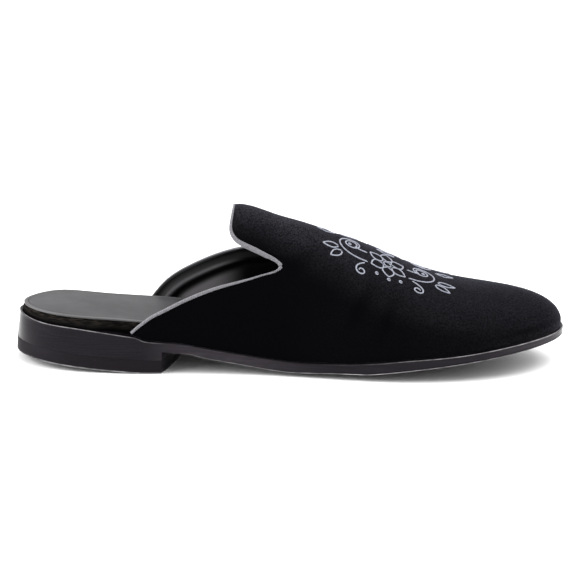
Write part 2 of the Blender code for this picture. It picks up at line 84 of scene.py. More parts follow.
# Heights along the sole: its underside on the middle line, its top edge, and the top of the footbed
SOLE_COLUMNS = ("x", "underside", "top", "footbed")
SOLE = (
    (0, 22.0, 26.9, 31.2),
    (8, 20.4, 25.4, 30.9),
    (25, 18.6, 24.2, 30.2),
    (50, 15.8, 21.5, 28.4),
    (70, 13.2, 18.7, 26.6),
    (88, 9.6, 16.0, 24.2),
    (98, 6.8, 14.2, 22.2),
    (110, 4.7, 12.2, 19.2),
    (130, 1.6, 9.4, 14.6),
    (142, 0.3, 8.2, 12.9),
    (152, -0.3, 7.9, 12.2),
    (168, -0.6, 8.4, 12.2),
    (184, -0.1, 9.5, 13.0),
    (195, 1.0, 10.6, 14.0),
    (207, 2.6, 12.1, 15.4),
    (222, 4.5, 13.4, 16.9),
    (240, 6.7, 15.0, 18.8),
    (265, 9.7, 17.8, 21.4),
    (281, 11.4, 19.2, 23.1),
    (298, 12.9, 20.3, 24.8),
)

# How far the footbed's edge lies inside the sole's edge
FOOTBED_COLUMNS = ("x", "inset")
FOOTBED = (
    (0, 2.8),
    (14, 2.8),
    (24, 3.1),
    (44, 5.8),
    (60, 7.0),
    (80, 6.8),
    (120, 5.4),
    (180, 4.8),
    (250, 5.6),
    (298, 5.7),
)
# How far the footbed's medial edge is tipped up into the arch
ARCH_COLUMNS = ("x", "rise")
ARCH = (
    (0, 0.0),
    (20, -0.3),
    (35, -0.7),
    (50, -0.3),
    (72, 1.0),
    (86, 2.1),
    (98, 2.5),
    (115, 2.1),
    (135, 0.8),
    (150, 0.0),
    (298, 0.0),
)
ARCH_POWER = 1.4
SEAT_INSET = 1.0
CROWN_INSET = 14.0
CROWN_AT_WAIST = 0.65
CROWN_FULL_BACK, CROWN_FULL_FRONT = 140.0, 185.0
TREAD_EDGE_BACK, TREAD_EDGE_FRONT = 78.0, 94.0

# Front face of the heel: where it starts on the lateral edge, and how it bows forward across the shoe
BREAST_LATERAL_X = 76.5
BREAST_SLANT = 15.5
BREAST_BOW = 1.7
BREAST_FADE = 3

# The heel stands on its front part and rises a little off the floor towards its back
HEEL_BACK_RISE = 4.6
HEEL_FLAT_X = 66.0
HEEL_RISE_POWER = 1.1
HEEL_FLARE = 1.0

# The sole's top edge steps down under the start of the upper, and comes back up along the waist
SEAT_STEP = 1.4
SEAT_STEP_DOWN, SEAT_STEP_BACK = (61.5, 67.5), (67.0, 90.0)

# Cross sections of the upper, as if it closed over the instep all the way back
SECTION_COLUMNS = ("x", "ridge_y", "ridge_z", "wall", "crown", "bulge")
SECTIONS = (
    (50, -1.0, 78.0, 0.56, 0.64, 0.0),
    (85, -0.5, 82.5, 0.56, 0.65, 0.0),
    (112, 0.0, 85.9, 0.56, 0.65, 0.5),
    (121, 0.2, 85.5, 0.56, 0.65, 0.5),
    (138, 0.8, 80.2, 0.55, 0.63, 0.8),
    (153, 1.6, 75.8, 0.54, 0.61, 1.1),
    (169, 2.5, 70.2, 0.53, 0.58, 1.5),
    (187, 3.6, 63.6, 0.51, 0.55, 2.0),
    (204, 4.6, 55.8, 0.50, 0.53, 2.4),
    (222, 5.4, 48.4, 0.50, 0.53, 2.6),
    (240, 6.0, 43.7, 0.52, 0.54, 2.6),
    (264, 6.0, 40.6, 0.55, 0.56, 2.4),
)
RIDGE_END_X = 264.0
FAN_START_X = 190.0
RIDGE_SLOPE_STEP = 1.0

# Outer edge of the binding seen from the side, from the sole up to the notch and over the tongue
TOPLINE_COLUMNS = ("lateral_x", "lateral_z", "medial_x", "medial_z")
TOPLINE = (
    (56.4, 19.8, 66.4, 18.0),
    (62.0, 24.7, 70.0, 23.0),
    (67.0, 28.8, 74.2, 29.0),
    (75.2, 33.9, 78.6, 34.6),
    (91.0, 42.0, 91.0, 44.3),
    (107.0, 48.1, 107.0, 52.5),
    (122.9, 52.4, 121.0, 56.9),
    (132.5, 55.2, 131.0, 58.0),
    (137.0, 56.8, 135.6, 58.8),
    (138.6, 58.4, 137.0, 59.6),
    (136.9, 60.4, 135.6, 61.0),
    (131.8, 62.7, 131.6, 62.9),
    (125.5, 65.4, 126.4, 65.7),
    (119.0, 68.2, 120.8, 68.8),
    (114.3, 71.1, 116.8, 72.0),
    (111.7, 75.5, 114.8, 76.4),
    (112.1, 80.8, 114.5, 81.2),
)
TONGUE_TOP_X = 114.1

# Width of the binding at shares of its length, from the sole up to the ridge
BINDING_COLUMNS = ("share", "width")
BINDING = (
    (0.0, 1.3),
    (0.12, 1.5),
    (0.3, 1.75),
    (0.4, 1.6),
    (0.5, 1.1),
    (0.6, 1.1),
    (0.7, 2.4),
    (0.78, 2.5),
    (0.88, 1.5),
    (1.0, 1.3),
)

# Fineness of the meshes
DENSE = np.linspace(0.0, 1.0, 801)
TOPLINE_SAMPLES = 361
SLOPE_STEP = 1e-3
WELD = 1e-6
TINY = 1e-12
SHARP_ANGLE_DEG = 50.0
NOTCH_SEARCH_SHARE = 0.75
NOTCH_CROWDING = 1.5
UPPER_FIXED_X = 144.0
VELVET_ROWS, VELVET_COLUMNS = (46, 46), (44, 124)
LINING_ROWS, LINING_COLUMNS = (34, 34), (44, 60)
SLAB_STATIONS = 200
SLAB_ACROSS = 24
HEEL_STATIONS = 60
HEEL_ACROSS = 24

# Search for the station of a point on the upper: first guess, rounds, largest steps, highest q
LOCATE_FIRST_Q = 0.4
LOCATE_ROUNDS = 30
LOCATE_STEP_T, LOCATE_STEP_Q = 0.05, 0.08
LOCATE_TOP_Q = 0.985

# Layers of the upper
VELVET_THICKNESS = 0.95
VELVET_UNDER_TAPE = 0.15
VELVET_TUCK_INSET, VELVET_TUCK_LIFT = 2.3, 0.08
EDGE_PRESS, EDGE_PRESS_REACH = 0.28, 1.3
# Painted shade along the velvet's creases: how much its paleness drops for each millimetre of their depth
CREASE_PAINTED_SHADE = 0.25
LINING_UNDER_TAPE = 0.2
ROLL_HEIGHT, ROLL_FROM_EDGE, ROLL_WIDTH = 1.8, 6.2, 2.6
TROUGH_DEPTH, TROUGH_FROM_EDGE, TROUGH_WIDTH = 0.6, 10.4, 1.6
# Painted light on the lining below its roll, from these distances to the topline, fading out between these x
# towards the front where it lies in shade; and a painted highlight along the roll
LINING_PAINTED_LIGHT_FROM_EDGE = (11.0, 14.5)
LINING_PAINTED_LIGHT_X = (104.0, 124.0)
ROLL_PAINTED_HIGHLIGHT, ROLL_HIGHLIGHT_FROM_EDGE, ROLL_HIGHLIGHT_WIDTH = 1.0, 6.6, 1.1

# Painted highlight on the velvet, as how pale it is painted along the shoe: on its walls, on its top, and in
# between by how far it faces up, standing in for light from above
PAINTED_TOP_LIGHT_COLUMNS = ("x", "wall", "top")
PAINTED_TOP_LIGHT = (
    (100, 0.0, 0.75),
    (140, 0.0, 0.9),
    (170, 0.02, 0.7),
    (205, 0.02, 0.42),
    (245, 0.1, 0.28),
    (285, 0.22, 0.28),
    (298, 0.5, 0.6),
)
PAINTED_TOP_LIGHT_UPWARD = (0.4, 1.1)

# Soft troughs on the upper: x, distance from the ridge (lateral side negative), angle in degrees,
# half length, half width, depth
CREASES = (
    (188, -37, 64, 20, 5.0, 0.24),
    (199, -45, 72, 15, 4.2, 0.18),
    (190, 36, -62, 20, 5.0, 0.24),
    (202, 45, -70, 15, 4.2, 0.18),
    (155, -26, 38, 17, 6.0, 0.28),
    (155, 26, -38, 17, 6.0, 0.28),
    (172, 2, 88, 17, 8.0, 0.24),
    (276, -42.7, 22, 17, 2.4, 0.45),
    (276, 42.7, -22, 17, 2.4, 0.45),
    (110, -48, 18, 24, 6.5, 0.22),
    (110, 46, -18, 24, 6.5, 0.22),
)

# Binding
TAPE_EXTRA_WIDTH = 0.1
TAPE_STEP = 0.14
TAPE_RIB_PITCH = 1.05
TAPE_RIB_HEIGHT = 0.15
# Painted shade in the grooves between the tape's ribs, as a share of darkening
TAPE_RIB_PAINTED_SHADE = 0.65
TAPE_RIB_SLANT = 0.35
TAPE_SQUARENESS = 3.2
TAPE_AROUND = 18
TAPE_INSIDE = (-0.85, -0.35)
TAPE_RIDGE_SINK, TAPE_RIDGE_REACH = 0.55, 7.0
NOTCH_TOP_Z = 62.0
PINCH_HEIGHT, PINCH_LENGTH = 0.42, 1.5
PINCH_FOLD_DEPTH, PINCH_FOLD_LENGTH = 0.6, 0.45

# Embroidery
THREAD_STEP = 0.16
THREAD_LEAST_POINTS = 4
THREAD_AROUND = 8
THREAD_PITCH = 0.52
THREAD_SLANT = 0.3
THREAD_GROOVE, THREAD_GROOVE_POWER = 0.16, 3
THREAD_SUNK = 0.5
THREAD_END = 0.02
LINE_WIDTH = 0.85
LINE_HEIGHT = 0.4
ARC_SAMPLES = 72
ARC_LOW_Q = 0.12
PETAL_SAMPLES, RING_SAMPLES, SCROLL_SAMPLES = 40, 60, 160
PETAL_LEAN, PETAL_ROUND = 0.8, 0.85


def column(table, names, name):
    return np.array([row[names.index(name)] for row in table], float)


def spline(xs, ys):
    """The natural cubic spline through the points (xs, ys), as a function."""
    step = np.diff(xs)
    slope = np.diff(ys) / step
    count = len(xs)
    system = np.eye(count)
    right = np.zeros(count)
    for i in range(1, count - 1):
        system[i, i - 1 : i + 2] = step[i - 1], 2 * (step[i - 1] + step[i]), step[i]
        right[i] = 6 * (slope[i] - slope[i - 1])
    bend = np.linalg.solve(system, right)

    def value(x):
        i = np.clip(np.searchsorted(xs, x) - 1, 0, count - 2)
        before = xs[i + 1] - x
        after = x - xs[i]
        curved = (bend[i] * before**3 + bend[i + 1] * after**3) / (6 * step[i])
        left = (ys[i] / step[i] - bend[i] * step[i] / 6) * before
        return curved + left + (ys[i + 1] / step[i] - bend[i + 1] * step[i] / 6) * after

    return value


def curve(table, names, name):
    """The spline through one column of a table, over its first column."""
    return spline(column(table, names, names[0]), column(table, names, name))


def level(table, names, name, x):
    """One column of a table at x, straight from row to row."""
    return np.interp(x, column(table, names, names[0]), column(table, names, name))


def turn(x):
    """Station (0 at the heel, 1 at the toe) at x, spaced so that both round ends get fine steps."""
    return np.arccos(1 - 2 * np.asarray(x, float) / LENGTH) / np.pi


def station_x(t):
    return LENGTH / 2 * (1 - np.cos(np.pi * np.asarray(t)))


def smooth_step(low, high, x):
    share = np.clip((x - low) / (high - low), 0, 1)
    return share * share * (3 - 2 * share)


def hump(x, middle, width):
    """A bell of height 1."""
    return np.exp(-(((x - middle) / width) ** 2))


def run(points):
    """Length along a line of points, from its start to each of them."""
    return np.r_[0, np.cumsum(np.linalg.norm(np.diff(points, axis=0), axis=1))]


def outline_sides():
    """For each side: plan points of the sole's edge at DENSE stations, and the inward directions there."""
    stations = turn(column(OUTLINE, OUTLINE_COLUMNS, "x"))
    x = station_x(DENSE)
    edges = []
    for side in ("lateral", "medial"):
        y = spline(stations, column(OUTLINE, OUTLINE_COLUMNS, side))(DENSE)
        edges.append(np.column_stack([x, y]))
    loop = np.vstack([edges[0], edges[1][-2:0:-1]])
    along = np.roll(loop, -1, axis=0) - np.roll(loop, 1, axis=0)
    inward = np.column_stack([-along[:, 1], along[:, 0]])
    inward /= np.linalg.norm(inward, axis=1)[:, None]
    last = len(DENSE) - 1
    medial_order = np.r_[0, np.arange(len(loop) - 1, last - 1, -1)]
    return {
        "lateral": (edges[0], inward[: last + 1]),
        "medial": (edges[1], inward[medial_order]),
    }


SIDES = outline_sides()
MIDDLE_X = (LENGTH - HEEL_FLARE) / 2
MIDDLE_Y = (SIDES["lateral"][0][:, 1].min() + SIDES["medial"][0][:, 1].max()) / 2
underside_curve = curve(SOLE, SOLE_COLUMNS, "underside")
sole_top_curve = curve(SOLE, SOLE_COLUMNS, "top")
footbed_at = curve(SOLE, SOLE_COLUMNS, "footbed")
footbed_inset = curve(FOOTBED, FOOTBED_COLUMNS, "inset")
arch_at = curve(ARCH, ARCH_COLUMNS, "rise")
binding_width = curve(BINDING, BINDING_COLUMNS, "width")
TAPE_WIDTHS = binding_width(np.linspace(0, 1, TOPLINE_SAMPLES)) + TAPE_EXTRA_WIDTH
section_at = {name: curve(SECTIONS, SECTION_COLUMNS, name) for name in SECTION_COLUMNS[1:]}
FAN_START = float(turn(FAN_START_X))
FAN_RATE = LENGTH / 2 * np.pi * np.sin(np.pi * FAN_START) * (1 - FAN_START) / (RIDGE_END_X - FAN_START_X)


def underside_at(x):
    """Height of the sole's underside. It lies flat on the floor along the tread."""
    return np.maximum(underside_curve(x), 0.0)


def sole_top_at(x):
    """Height of the sole's top edge."""
    step = smooth_step(*SEAT_STEP_DOWN, x) * (1 - smooth_step(*SEAT_STEP_BACK, x))
    return sole_top_curve(x) - SEAT_STEP * step


def edge(side, t, inset):
    """Plan points at the stations t on one side of the outline, moved inwards."""
    points, inward = SIDES[side]
    found = [np.interp(t, DENSE, points[:, k]) + inset * np.interp(t, DENSE, inward[:, k]) for k in (0, 1)]
    return np.stack(found, axis=-1)


def place(points):
    """Metres in the part's frame for millimetre points of the shoe's frame."""
    return (np.asarray(points, float) - (MIDDLE_X, MIDDLE_Y, 0.0)) * MM


def unit(vectors):
    return vectors / np.linalg.norm(vectors, axis=-1, keepdims=True)


def ridge_x(t):
    """Where the profile of station t meets the ridge. Past the ball the profiles fan round the toe."""
    left = np.clip((1 - t) / (1 - FAN_START), 0, 1)
    fanned = FAN_START_X + (RIDGE_END_X - FAN_START_X) * (1 - left**FAN_RATE)
    return np.where(t <= FAN_START, station_x(t), fanned)


def ridge_station(x):
    """The station whose profile meets the ridge at x."""
    left = np.clip(1 - (x - FAN_START_X) / (RIDGE_END_X - FAN_START_X), 0, 1)
    return np.where(x <= FAN_START_X, turn(x), 1 - left ** (1 / FAN_RATE) * (1 - FAN_START))


def upper_points(side, t, q):
    """Points on the outside of the upper: q runs from 0 at the sole to 1 on the ridge."""
    t, q = np.broadcast_arrays(np.asarray(t, float), np.asarray(q, float))
    plan = edge(side, t, FEATHER_INSET)
    foot = np.stack([plan[..., 0], plan[..., 1], sole_top_at(plan[..., 0]) + FEATHER_LIFT], axis=-1)
    x = ridge_x(t)
    height = section_at["ridge_z"]
    ridge = np.stack([x, section_at["ridge_y"](x), height(x)], axis=-1)
    outward = (foot - ridge) * (1, 1, 0)
    reach = np.linalg.norm(outward, axis=-1)
    outward /= reach[..., None]
    slope = (height(x + RIDGE_SLOPE_STEP) - height(x - RIDGE_SLOPE_STEP)) / (2 * RIDGE_SLOPE_STEP)
    wall_handle = foot + outward * section_at["bulge"](x)[..., None]
    wall_handle[..., 2] += section_at["wall"](x) * (ridge[..., 2] - foot[..., 2])
    crown = section_at["crown"](x) * reach
    crown_handle = ridge + outward * crown[..., None]
    crown_handle[..., 2] += slope * outward[..., 0] * crown
    q = q[..., None]
    p = 1 - q
    return p**3 * foot + 3 * p * p * q * wall_handle + 3 * p * q * q * crown_handle + q**3 * ridge


def surface_frame(side, t, q):
    """The points at (t, q), their two slopes, and the outward directions there."""
    step = SLOPE_STEP
    points = upper_points(side, t, q)
    along = (upper_points(side, t + step, q) - upper_points(side, t - step, q)) / (2 * step)
    up = (upper_points(side, t, q + step) - upper_points(side, t, q - step)) / (2 * step)
    normal = np.cross(along, up) if side == "lateral" else np.cross(up, along)
    return points, along, up, unit(normal)


def locate(side, x, z):
    """The (t, q) whose surface point is seen from the side at (x, z)."""
    t = float(turn(x))
    q = LOCATE_FIRST_Q
    for _ in range(LOCATE_ROUNDS):
        point, along, up, _ = surface_frame(side, t, q)
        slopes = np.array([[along[0], up[0]], [along[2], up[2]]])
        change = np.linalg.solve(slopes, [x - point[0], z - point[2]])
        t += np.clip(change[0], -LOCATE_STEP_T, LOCATE_STEP_T)
        q += np.clip(change[1], -LOCATE_STEP_Q, LOCATE_STEP_Q)
        q = min(q, LOCATE_TOP_Q)
    return t, q


def topline_of(side):
    """Stations (t, q) along the outer edge of the binding, the last one on the ridge."""
    seen = [column(TOPLINE, TOPLINE_COLUMNS, f"{side}_{axis}") for axis in "xz"]
    stops = [locate(side, x, z) for x, z in zip(*seen)]
    stops.append((float(turn(TONGUE_TOP_X)), 1.0))
    stops = np.array(stops)
    points = upper_points(side, stops[:, 0], stops[:, 1])
    length = run(points)
    fine = np.linspace(0, length[-1], TOPLINE_SAMPLES)
    return np.column_stack([spline(length, stops[:, k])(fine) for k in (0, 1)])


TOPLINES = {side: topline_of(side) for side in SIDES}
TOPLINE_POINTS = np.vstack([upper_points(side, line[:, 0], line[:, 1]) for side, line in TOPLINES.items()])


def moved_in(side, distances):
    """The topline's stations moved across the surface, away from the opening."""
    line = TOPLINES[side]
    points, along, up, normal = surface_frame(side, line[:, 0], line[:, 1])
    tangents = np.gradient(points, axis=0)
    across = np.cross(tangents, normal) if side == "lateral" else np.cross(normal, tangents)
    across = unit(across) * distances[:, None]
    moved = []
    for stop, a, u, step in zip(line, along, up, across):
        change = np.linalg.lstsq(np.column_stack([a, u]), step, rcond=None)[0]
        moved.append(stop + change)
    moved = np.array(moved)
    moved[-1] = float(turn(TONGUE_TOP_X + distances[-1])), 1.0
    return moved


def border_of(side, distances):
    """A cut edge at those distances from the topline, with its q rising all the way."""
    border = moved_in(side, distances)
    border[:, 1] = np.minimum(np.maximum.accumulate(border[:, 1]), 1.0)
    return border


def row_heights(border, below_count, above_count):
    """The q of each row of the upper, with rows close together at the notch."""
    share = np.linspace(0, 1, len(border))
    start = np.interp(0.0, border[:, 1], share)
    notch = share[np.argmax(border[share < NOTCH_SEARCH_SHARE, 0])]
    below = np.linspace(0, 1, below_count + 1)
    above = np.linspace(0, 1, above_count + 1)[1:]
    lower_stops = start + (notch - start) * (1 - (1 - below) ** NOTCH_CROWDING)
    upper_stops = notch + (1 - notch) * above**NOTCH_CROWDING
    return np.interp(np.r_[lower_stops, upper_stops], share, border[:, 1])


def upper_stations(distances, rows, columns):
    """For each side: stations t and q of a grid over the upper, from the topline to the toe."""
    heights = row_heights(border_of("lateral", distances), *rows)
    fixed = float(turn(UPPER_FIXED_X))
    back = np.linspace(0, 1, columns[0] + 1)[:-1]
    front = np.linspace(fixed, 1.0, columns[1] + 1)
    found = {}
    for side in SIDES:
        border = border_of(side, distances)
        start = np.interp(heights, border[:, 1], border[:, 0])
        back_part = start[:, None] + (fixed - start[:, None]) * back
        t = np.hstack([back_part, np.tile(front, (len(heights), 1))])
        found[side] = t, np.tile(heights[:, None], (1, t.shape[1]))
    return found


def over_ridge(lateral, medial):
    """One grid from the lateral sole edge over the ridge to the medial sole edge."""
    return np.concatenate([lateral, medial[-2::-1]])


def grid_quads(ids):
    return np.stack([ids[:-1, :-1], ids[:-1, 1:], ids[1:, 1:], ids[1:, :-1]], axis=-1).reshape(-1, 4)


def upper_faces(rows, columns):
    """Quads of the grid over the ridge. Both sides share the last column, round the front of the toe."""
    ids = np.arange(rows * columns).reshape(rows, columns)
    middle = rows // 2
    ids[middle + 1 :, -1] = ids[middle - 1 :: -1, -1]
    return grid_quads(ids)


def vertex_normals(points, faces):
    corners = points[faces]
    normals = np.cross(corners[:, 2] - corners[:, 0], corners[:, 3] - corners[:, 1])
    total = np.zeros_like(points)
    for k in range(4):
        np.add.at(total, faces[:, k], normals)
    lengths = np.linalg.norm(total, axis=1, keepdims=True)
    return total / np.maximum(lengths, TINY)


def shell_faces(faces, count):
    """The outer faces, the inner faces turned round, and the rim between them."""
    edges = np.vstack([faces[:, [k, (k + 1) % 4]] for k in range(4)])
    keys = np.sort(edges, axis=1) @ (count, 1)
    _, index, uses = np.unique(keys, return_inverse=True, return_counts=True)
    a, b = edges[uses[index] == 1].T
    rim = np.column_stack([b, a, a + count, b + count])
    return np.vstack([faces, faces[:, ::-1] + count, rim])


def distance_to_topline(points):
    """Distance of each point to the topline, and the width of the tape at the nearest place."""
    found = np.full(len(points), np.inf)
    width = np.zeros(len(points))
    for stop, tape in zip(TOPLINE_POINTS[::2], np.tile(TAPE_WIDTHS, 2)[::2]):
        distance = np.linalg.norm(points - stop, axis=1)
        width = np.where(distance < found, tape, width)
        found = np.minimum(found, distance)
    return found, width


def ridge_distance(grid):
    """Length from the ridge along each profile of a grid over the ridge, negative on the lateral side."""
    steps = np.linalg.norm(np.diff(grid, axis=0), axis=2)
    length = np.vstack([np.zeros((1, grid.shape[1])), np.cumsum(steps, axis=0)])
    return length - length[grid.shape[0] // 2]


def crease_depth(x, w):
    """How far the velvet sinks at x and at the distance w from the ridge."""
    depth = np.zeros(np.broadcast(x, w).shape)
    for x0, w0, angle, half_length, half_width, deep in CREASES:
        slant = np.radians(angle)
        along = (x - x0) * np.cos(slant) + (w - w0) * np.sin(slant)
        across = (w - w0) * np.cos(slant) - (x - x0) * np.sin(slant)
        share = (across / half_width) ** 2
        depth += deep * (1 - share) * np.exp(-share - (along / half_length) ** 2)
    return depth


def new_object(name, points, faces):
    """A smooth-shaded object from millimetre points and faces, welded, with its faces pointing out.

    A fourth column of the points is kept as the shade of the surface there, for its finish.
    """
    mesh = bpy.data.meshes.new(name)
    mesh.from_pydata(place(points[:, :3]).tolist(), [], [list(face) for face in faces])
    if points.shape[1] > 3:
        mesh.attributes.new(SHADE, "FLOAT", "POINT").data.foreach_set("value", points[:, 3].copy())
    shape = bmesh.new()
    shape.from_mesh(mesh)
    bmesh.ops.remove_doubles(shape, verts=shape.verts, dist=WELD)
    bmesh.ops.dissolve_degenerate(shape, edges=shape.edges, dist=WELD)
    loose = [vertex for vertex in shape.verts if not vertex.link_faces]
    bmesh.ops.delete(shape, geom=loose, context="VERTS")
    bmesh.ops.recalc_face_normals(shape, faces=shape.faces)
    shape.to_mesh(mesh)
    shape.free()
    mesh.shade_smooth()
    mesh.set_sharp_from_angle(angle=np.radians(SHARP_ANGLE_DEG))
    piece = bpy.data.objects.new(name, mesh)
    bpy.context.scene.collection.objects.link(piece)
    return piece


def dress(piece, finish, slot, *nodes):
    """The piece takes its finish and rides on the shoe, in place of the nodes that it stands for."""
    piece.data.materials.clear()
    piece.data.materials.append(finish)
    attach(piece, BODY)
    if nodes:
        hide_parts(*nodes)


def painted_top_light(x, upward):
    """How pale the velvet is painted at x: a painted highlight by how far the surface faces up, standing in
    for light from above.
    """
    wall, top = (level(PAINTED_TOP_LIGHT, PAINTED_TOP_LIGHT_COLUMNS, name, x) for name in ("wall", "top"))
    return wall + (top - wall) * smooth_step(*PAINTED_TOP_LIGHT_UPWARD, upward)


def upper_skin(distances, rows, columns, tucked):
    """Grid over the upper from those distances to the topline, its quads and the outward directions.

    A tucked skin has one more row along the sole, under its edge.
    """
    sides = []
    for side, (t, q) in upper_stations(distances, rows, columns).items():
        sides.append(upper_points(side, t, q))
        if tucked:
            plan = edge(side, t[:1], VELVET_TUCK_INSET)
            tuck = raised(plan, sole_top_at(plan[..., 0]) + VELVET_TUCK_LIFT)
            sides[-1] = np.concatenate([tuck, sides[-1]])
    grid = over_ridge(*sides)
    faces = upper_faces(*grid.shape[:2])
    return grid, faces, vertex_normals(grid.reshape(-1, 3), faces)


def shell_object(name, points, faces, normals, depths, shade):
    """A shell between two depths under a skin."""
    skins = [points - normals * np.reshape(depth, (-1, 1)) for depth in depths]
    shell = np.column_stack([np.vstack(skins), np.tile(shade, 2)])
    return new_object(name, shell, shell_faces(faces, len(points)))


def add_velvet(finish):
    grid, faces, normals = upper_skin(TAPE_WIDTHS - VELVET_UNDER_TAPE, VELVET_ROWS, VELVET_COLUMNS, True)
    points = grid.reshape(-1, 3)
    creases = crease_depth(grid[..., 0], ridge_distance(grid)).ravel()
    distance, width = distance_to_topline(points)
    sink = creases + EDGE_PRESS * hump(distance, width, EDGE_PRESS_REACH)
    # Shade of the velvet: painted highlight where it faces up, less painted shade along its creases
    pale = np.clip(painted_top_light(points[:, 0], normals[:, 2]) - CREASE_PAINTED_SHADE * creases, 0, 1)
    piece = shell_object("velvet_upper", points, faces, normals, (sink, VELVET_THICKNESS), pale)
    dress(piece, finish, "velvet", "upper")


def lining_roll(distance):
    """How far the padded edge roll stands in from the lining, at a distance from the topline."""
    roll = ROLL_HEIGHT * hump(distance, ROLL_FROM_EDGE, ROLL_WIDTH)
    return roll - TROUGH_DEPTH * hump(distance, TROUGH_FROM_EDGE, TROUGH_WIDTH)


def painted_lining_light(x, distance):
    """How pale the lining is painted: a painted highlight along the top of the roll, and painted light below
    it at its back, fading out towards the front where the lining lies in shade.
    """
    roll = ROLL_PAINTED_HIGHLIGHT * hump(distance, ROLL_HIGHLIGHT_FROM_EDGE, ROLL_HIGHLIGHT_WIDTH)
    pale = np.maximum(roll, smooth_step(*LINING_PAINTED_LIGHT_FROM_EDGE, distance))
    return pale * (1 - smooth_step(*LINING_PAINTED_LIGHT_X, x))


def add_lining(finish):
    grid, faces, normals = upper_skin(TAPE_WIDTHS - LINING_UNDER_TAPE, LINING_ROWS, LINING_COLUMNS, False)
    points = grid.reshape(-1, 3)
    distance, _ = distance_to_topline(points)
    depths = VELVET_THICKNESS, UPPER_WALL + lining_roll(distance)
    piece = shell_object("upper_lining", points, faces, normals, depths, painted_lining_light(points[:, 0], distance))
    dress(piece, finish, "sock_leather")


def rings_round(middle, across, normals, sideways, outward):
    """Rings round a line of points, by how far each ring point lies sideways and outward."""
    return middle[:, None] + across[:, None] * sideways[..., None] + normals[:, None] * outward[..., None]


def tube_faces(rings, around):
    """Quads along a tube of rings, and its two ends."""
    ids = np.arange(rings * around).reshape(rings, around)
    after = np.roll(ids, -1, axis=1)
    quads = np.stack([ids[:-1], after[:-1], after[1:], ids[1:]], axis=-1).reshape(-1, 4)
    return quads.tolist() + [ids[0, ::-1].tolist(), ids[-1].tolist()]


def binding_line():
    """Lengths, points, outward directions and widths along the binding, over the tongue from side to side."""
    parts = {}
    for side in SIDES:
        line = moved_in(side, TAPE_WIDTHS / 2)
        found, _, _, normal = surface_frame(side, line[:, 0], np.minimum(line[:, 1], 1 - SLOPE_STEP))
        lift = found[:, 2] - sole_top_at(found[:, 0])
        first = np.argmax(lift > BINDING_FOOT_LIFT)
        parts[side] = np.column_stack([found, normal, TAPE_WIDTHS])[first:]
    rows = np.vstack([parts["lateral"], parts["medial"][-2::-1]])
    length = run(rows[:, :3])
    fine = np.arange(0, length[-1], TAPE_STEP)
    rows = np.column_stack([np.interp(fine, length, values) for values in rows.T])
    return fine, rows[:, :3], rows[:, 3:6], rows[:, 6]


def notch_pinch(length, points):
    """How far the tape bunches up where it turns at the two notches, with a fold in the middle."""
    pinch = np.zeros(len(length))
    for mine in (points[:, 1] < 0, points[:, 1] > 0):
        low = mine & (points[:, 2] < NOTCH_TOP_Z)
        notch = length[low][np.argmax(points[low, 0])]
        pinch += PINCH_HEIGHT * hump(length, notch, PINCH_LENGTH)
        pinch -= PINCH_FOLD_DEPTH * hump(length, notch, PINCH_FOLD_LENGTH)
    return pinch


def add_binding(finish):
    """A folded tape with a rounded section, its ribs running across it at a slant."""
    length, points, normals, widths = binding_line()
    tangents = unit(np.gradient(points, axis=0))
    normals = unit(normals - tangents * np.sum(normals * tangents, axis=1, keepdims=True))
    across = np.cross(tangents, normals)
    angle = np.linspace(0, 2 * np.pi, TAPE_AROUND, endpoint=False)
    a = np.sign(np.cos(angle)) * np.abs(np.cos(angle)) ** (2 / TAPE_SQUARENESS)
    b = np.sign(np.sin(angle)) * np.abs(np.sin(angle)) ** (2 / TAPE_SQUARENESS)
    phase = 2 * np.pi * (length[:, None] + TAPE_RIB_SLANT * a) / TAPE_RIB_PITCH
    rib = np.sqrt(np.abs(np.sin(phase / 2)))
    proud = TAPE_RIB_HEIGHT * (rib - 1) + notch_pinch(length, points)[:, None]
    half_width = widths[:, None] / 2 + proud
    half_depth = UPPER_WALL / 2 + BINDING_PROUD + proud
    sink = UPPER_WALL / 2 + TAPE_RIDGE_SINK * hump(points[:, 1], 0.0, TAPE_RIDGE_REACH)
    middle = points - normals * sink[:, None]
    rings = rings_round(middle, across, normals, a * half_width, b * half_depth)
    # Shade: dark on the tape's inner side, and painted shade in the grooves between its ribs
    shade = smooth_step(*TAPE_INSIDE, b) * (1 - TAPE_RIB_PAINTED_SHADE * (1 - rib))
    rings = np.dstack([rings, shade]).reshape(-1, 4)
    piece = new_object("grosgrain_binding", rings, tube_faces(len(points), TAPE_AROUND))
    dress(piece, finish, "grosgrain", "topline_binding")


def rows_between(lateral, medial, across):
    """Points in straight rows from each lateral point to its medial one."""
    share = np.linspace(0, 1, across + 1)[None, :, None]
    return lateral[:, None] * (1 - share) + medial[:, None] * share


def plan_grid(t, inset, across):
    """Plan points in rows across the outline, one row for each station."""
    return rows_between(edge("lateral", t, inset), edge("medial", t, inset), across)


def raised(plan, height):
    """A plan grid with its heights. `height` is a function of x, or an array that fits the grid."""
    z = height(plan[..., 0]) if callable(height) else height
    return np.dstack([plan, z])


def rim_of(ids):
    """Values round the edge of a grid."""
    return np.concatenate([ids[:, 0], ids[-1, 1:], ids[-2::-1, -1], ids[0, -2:0:-1]])


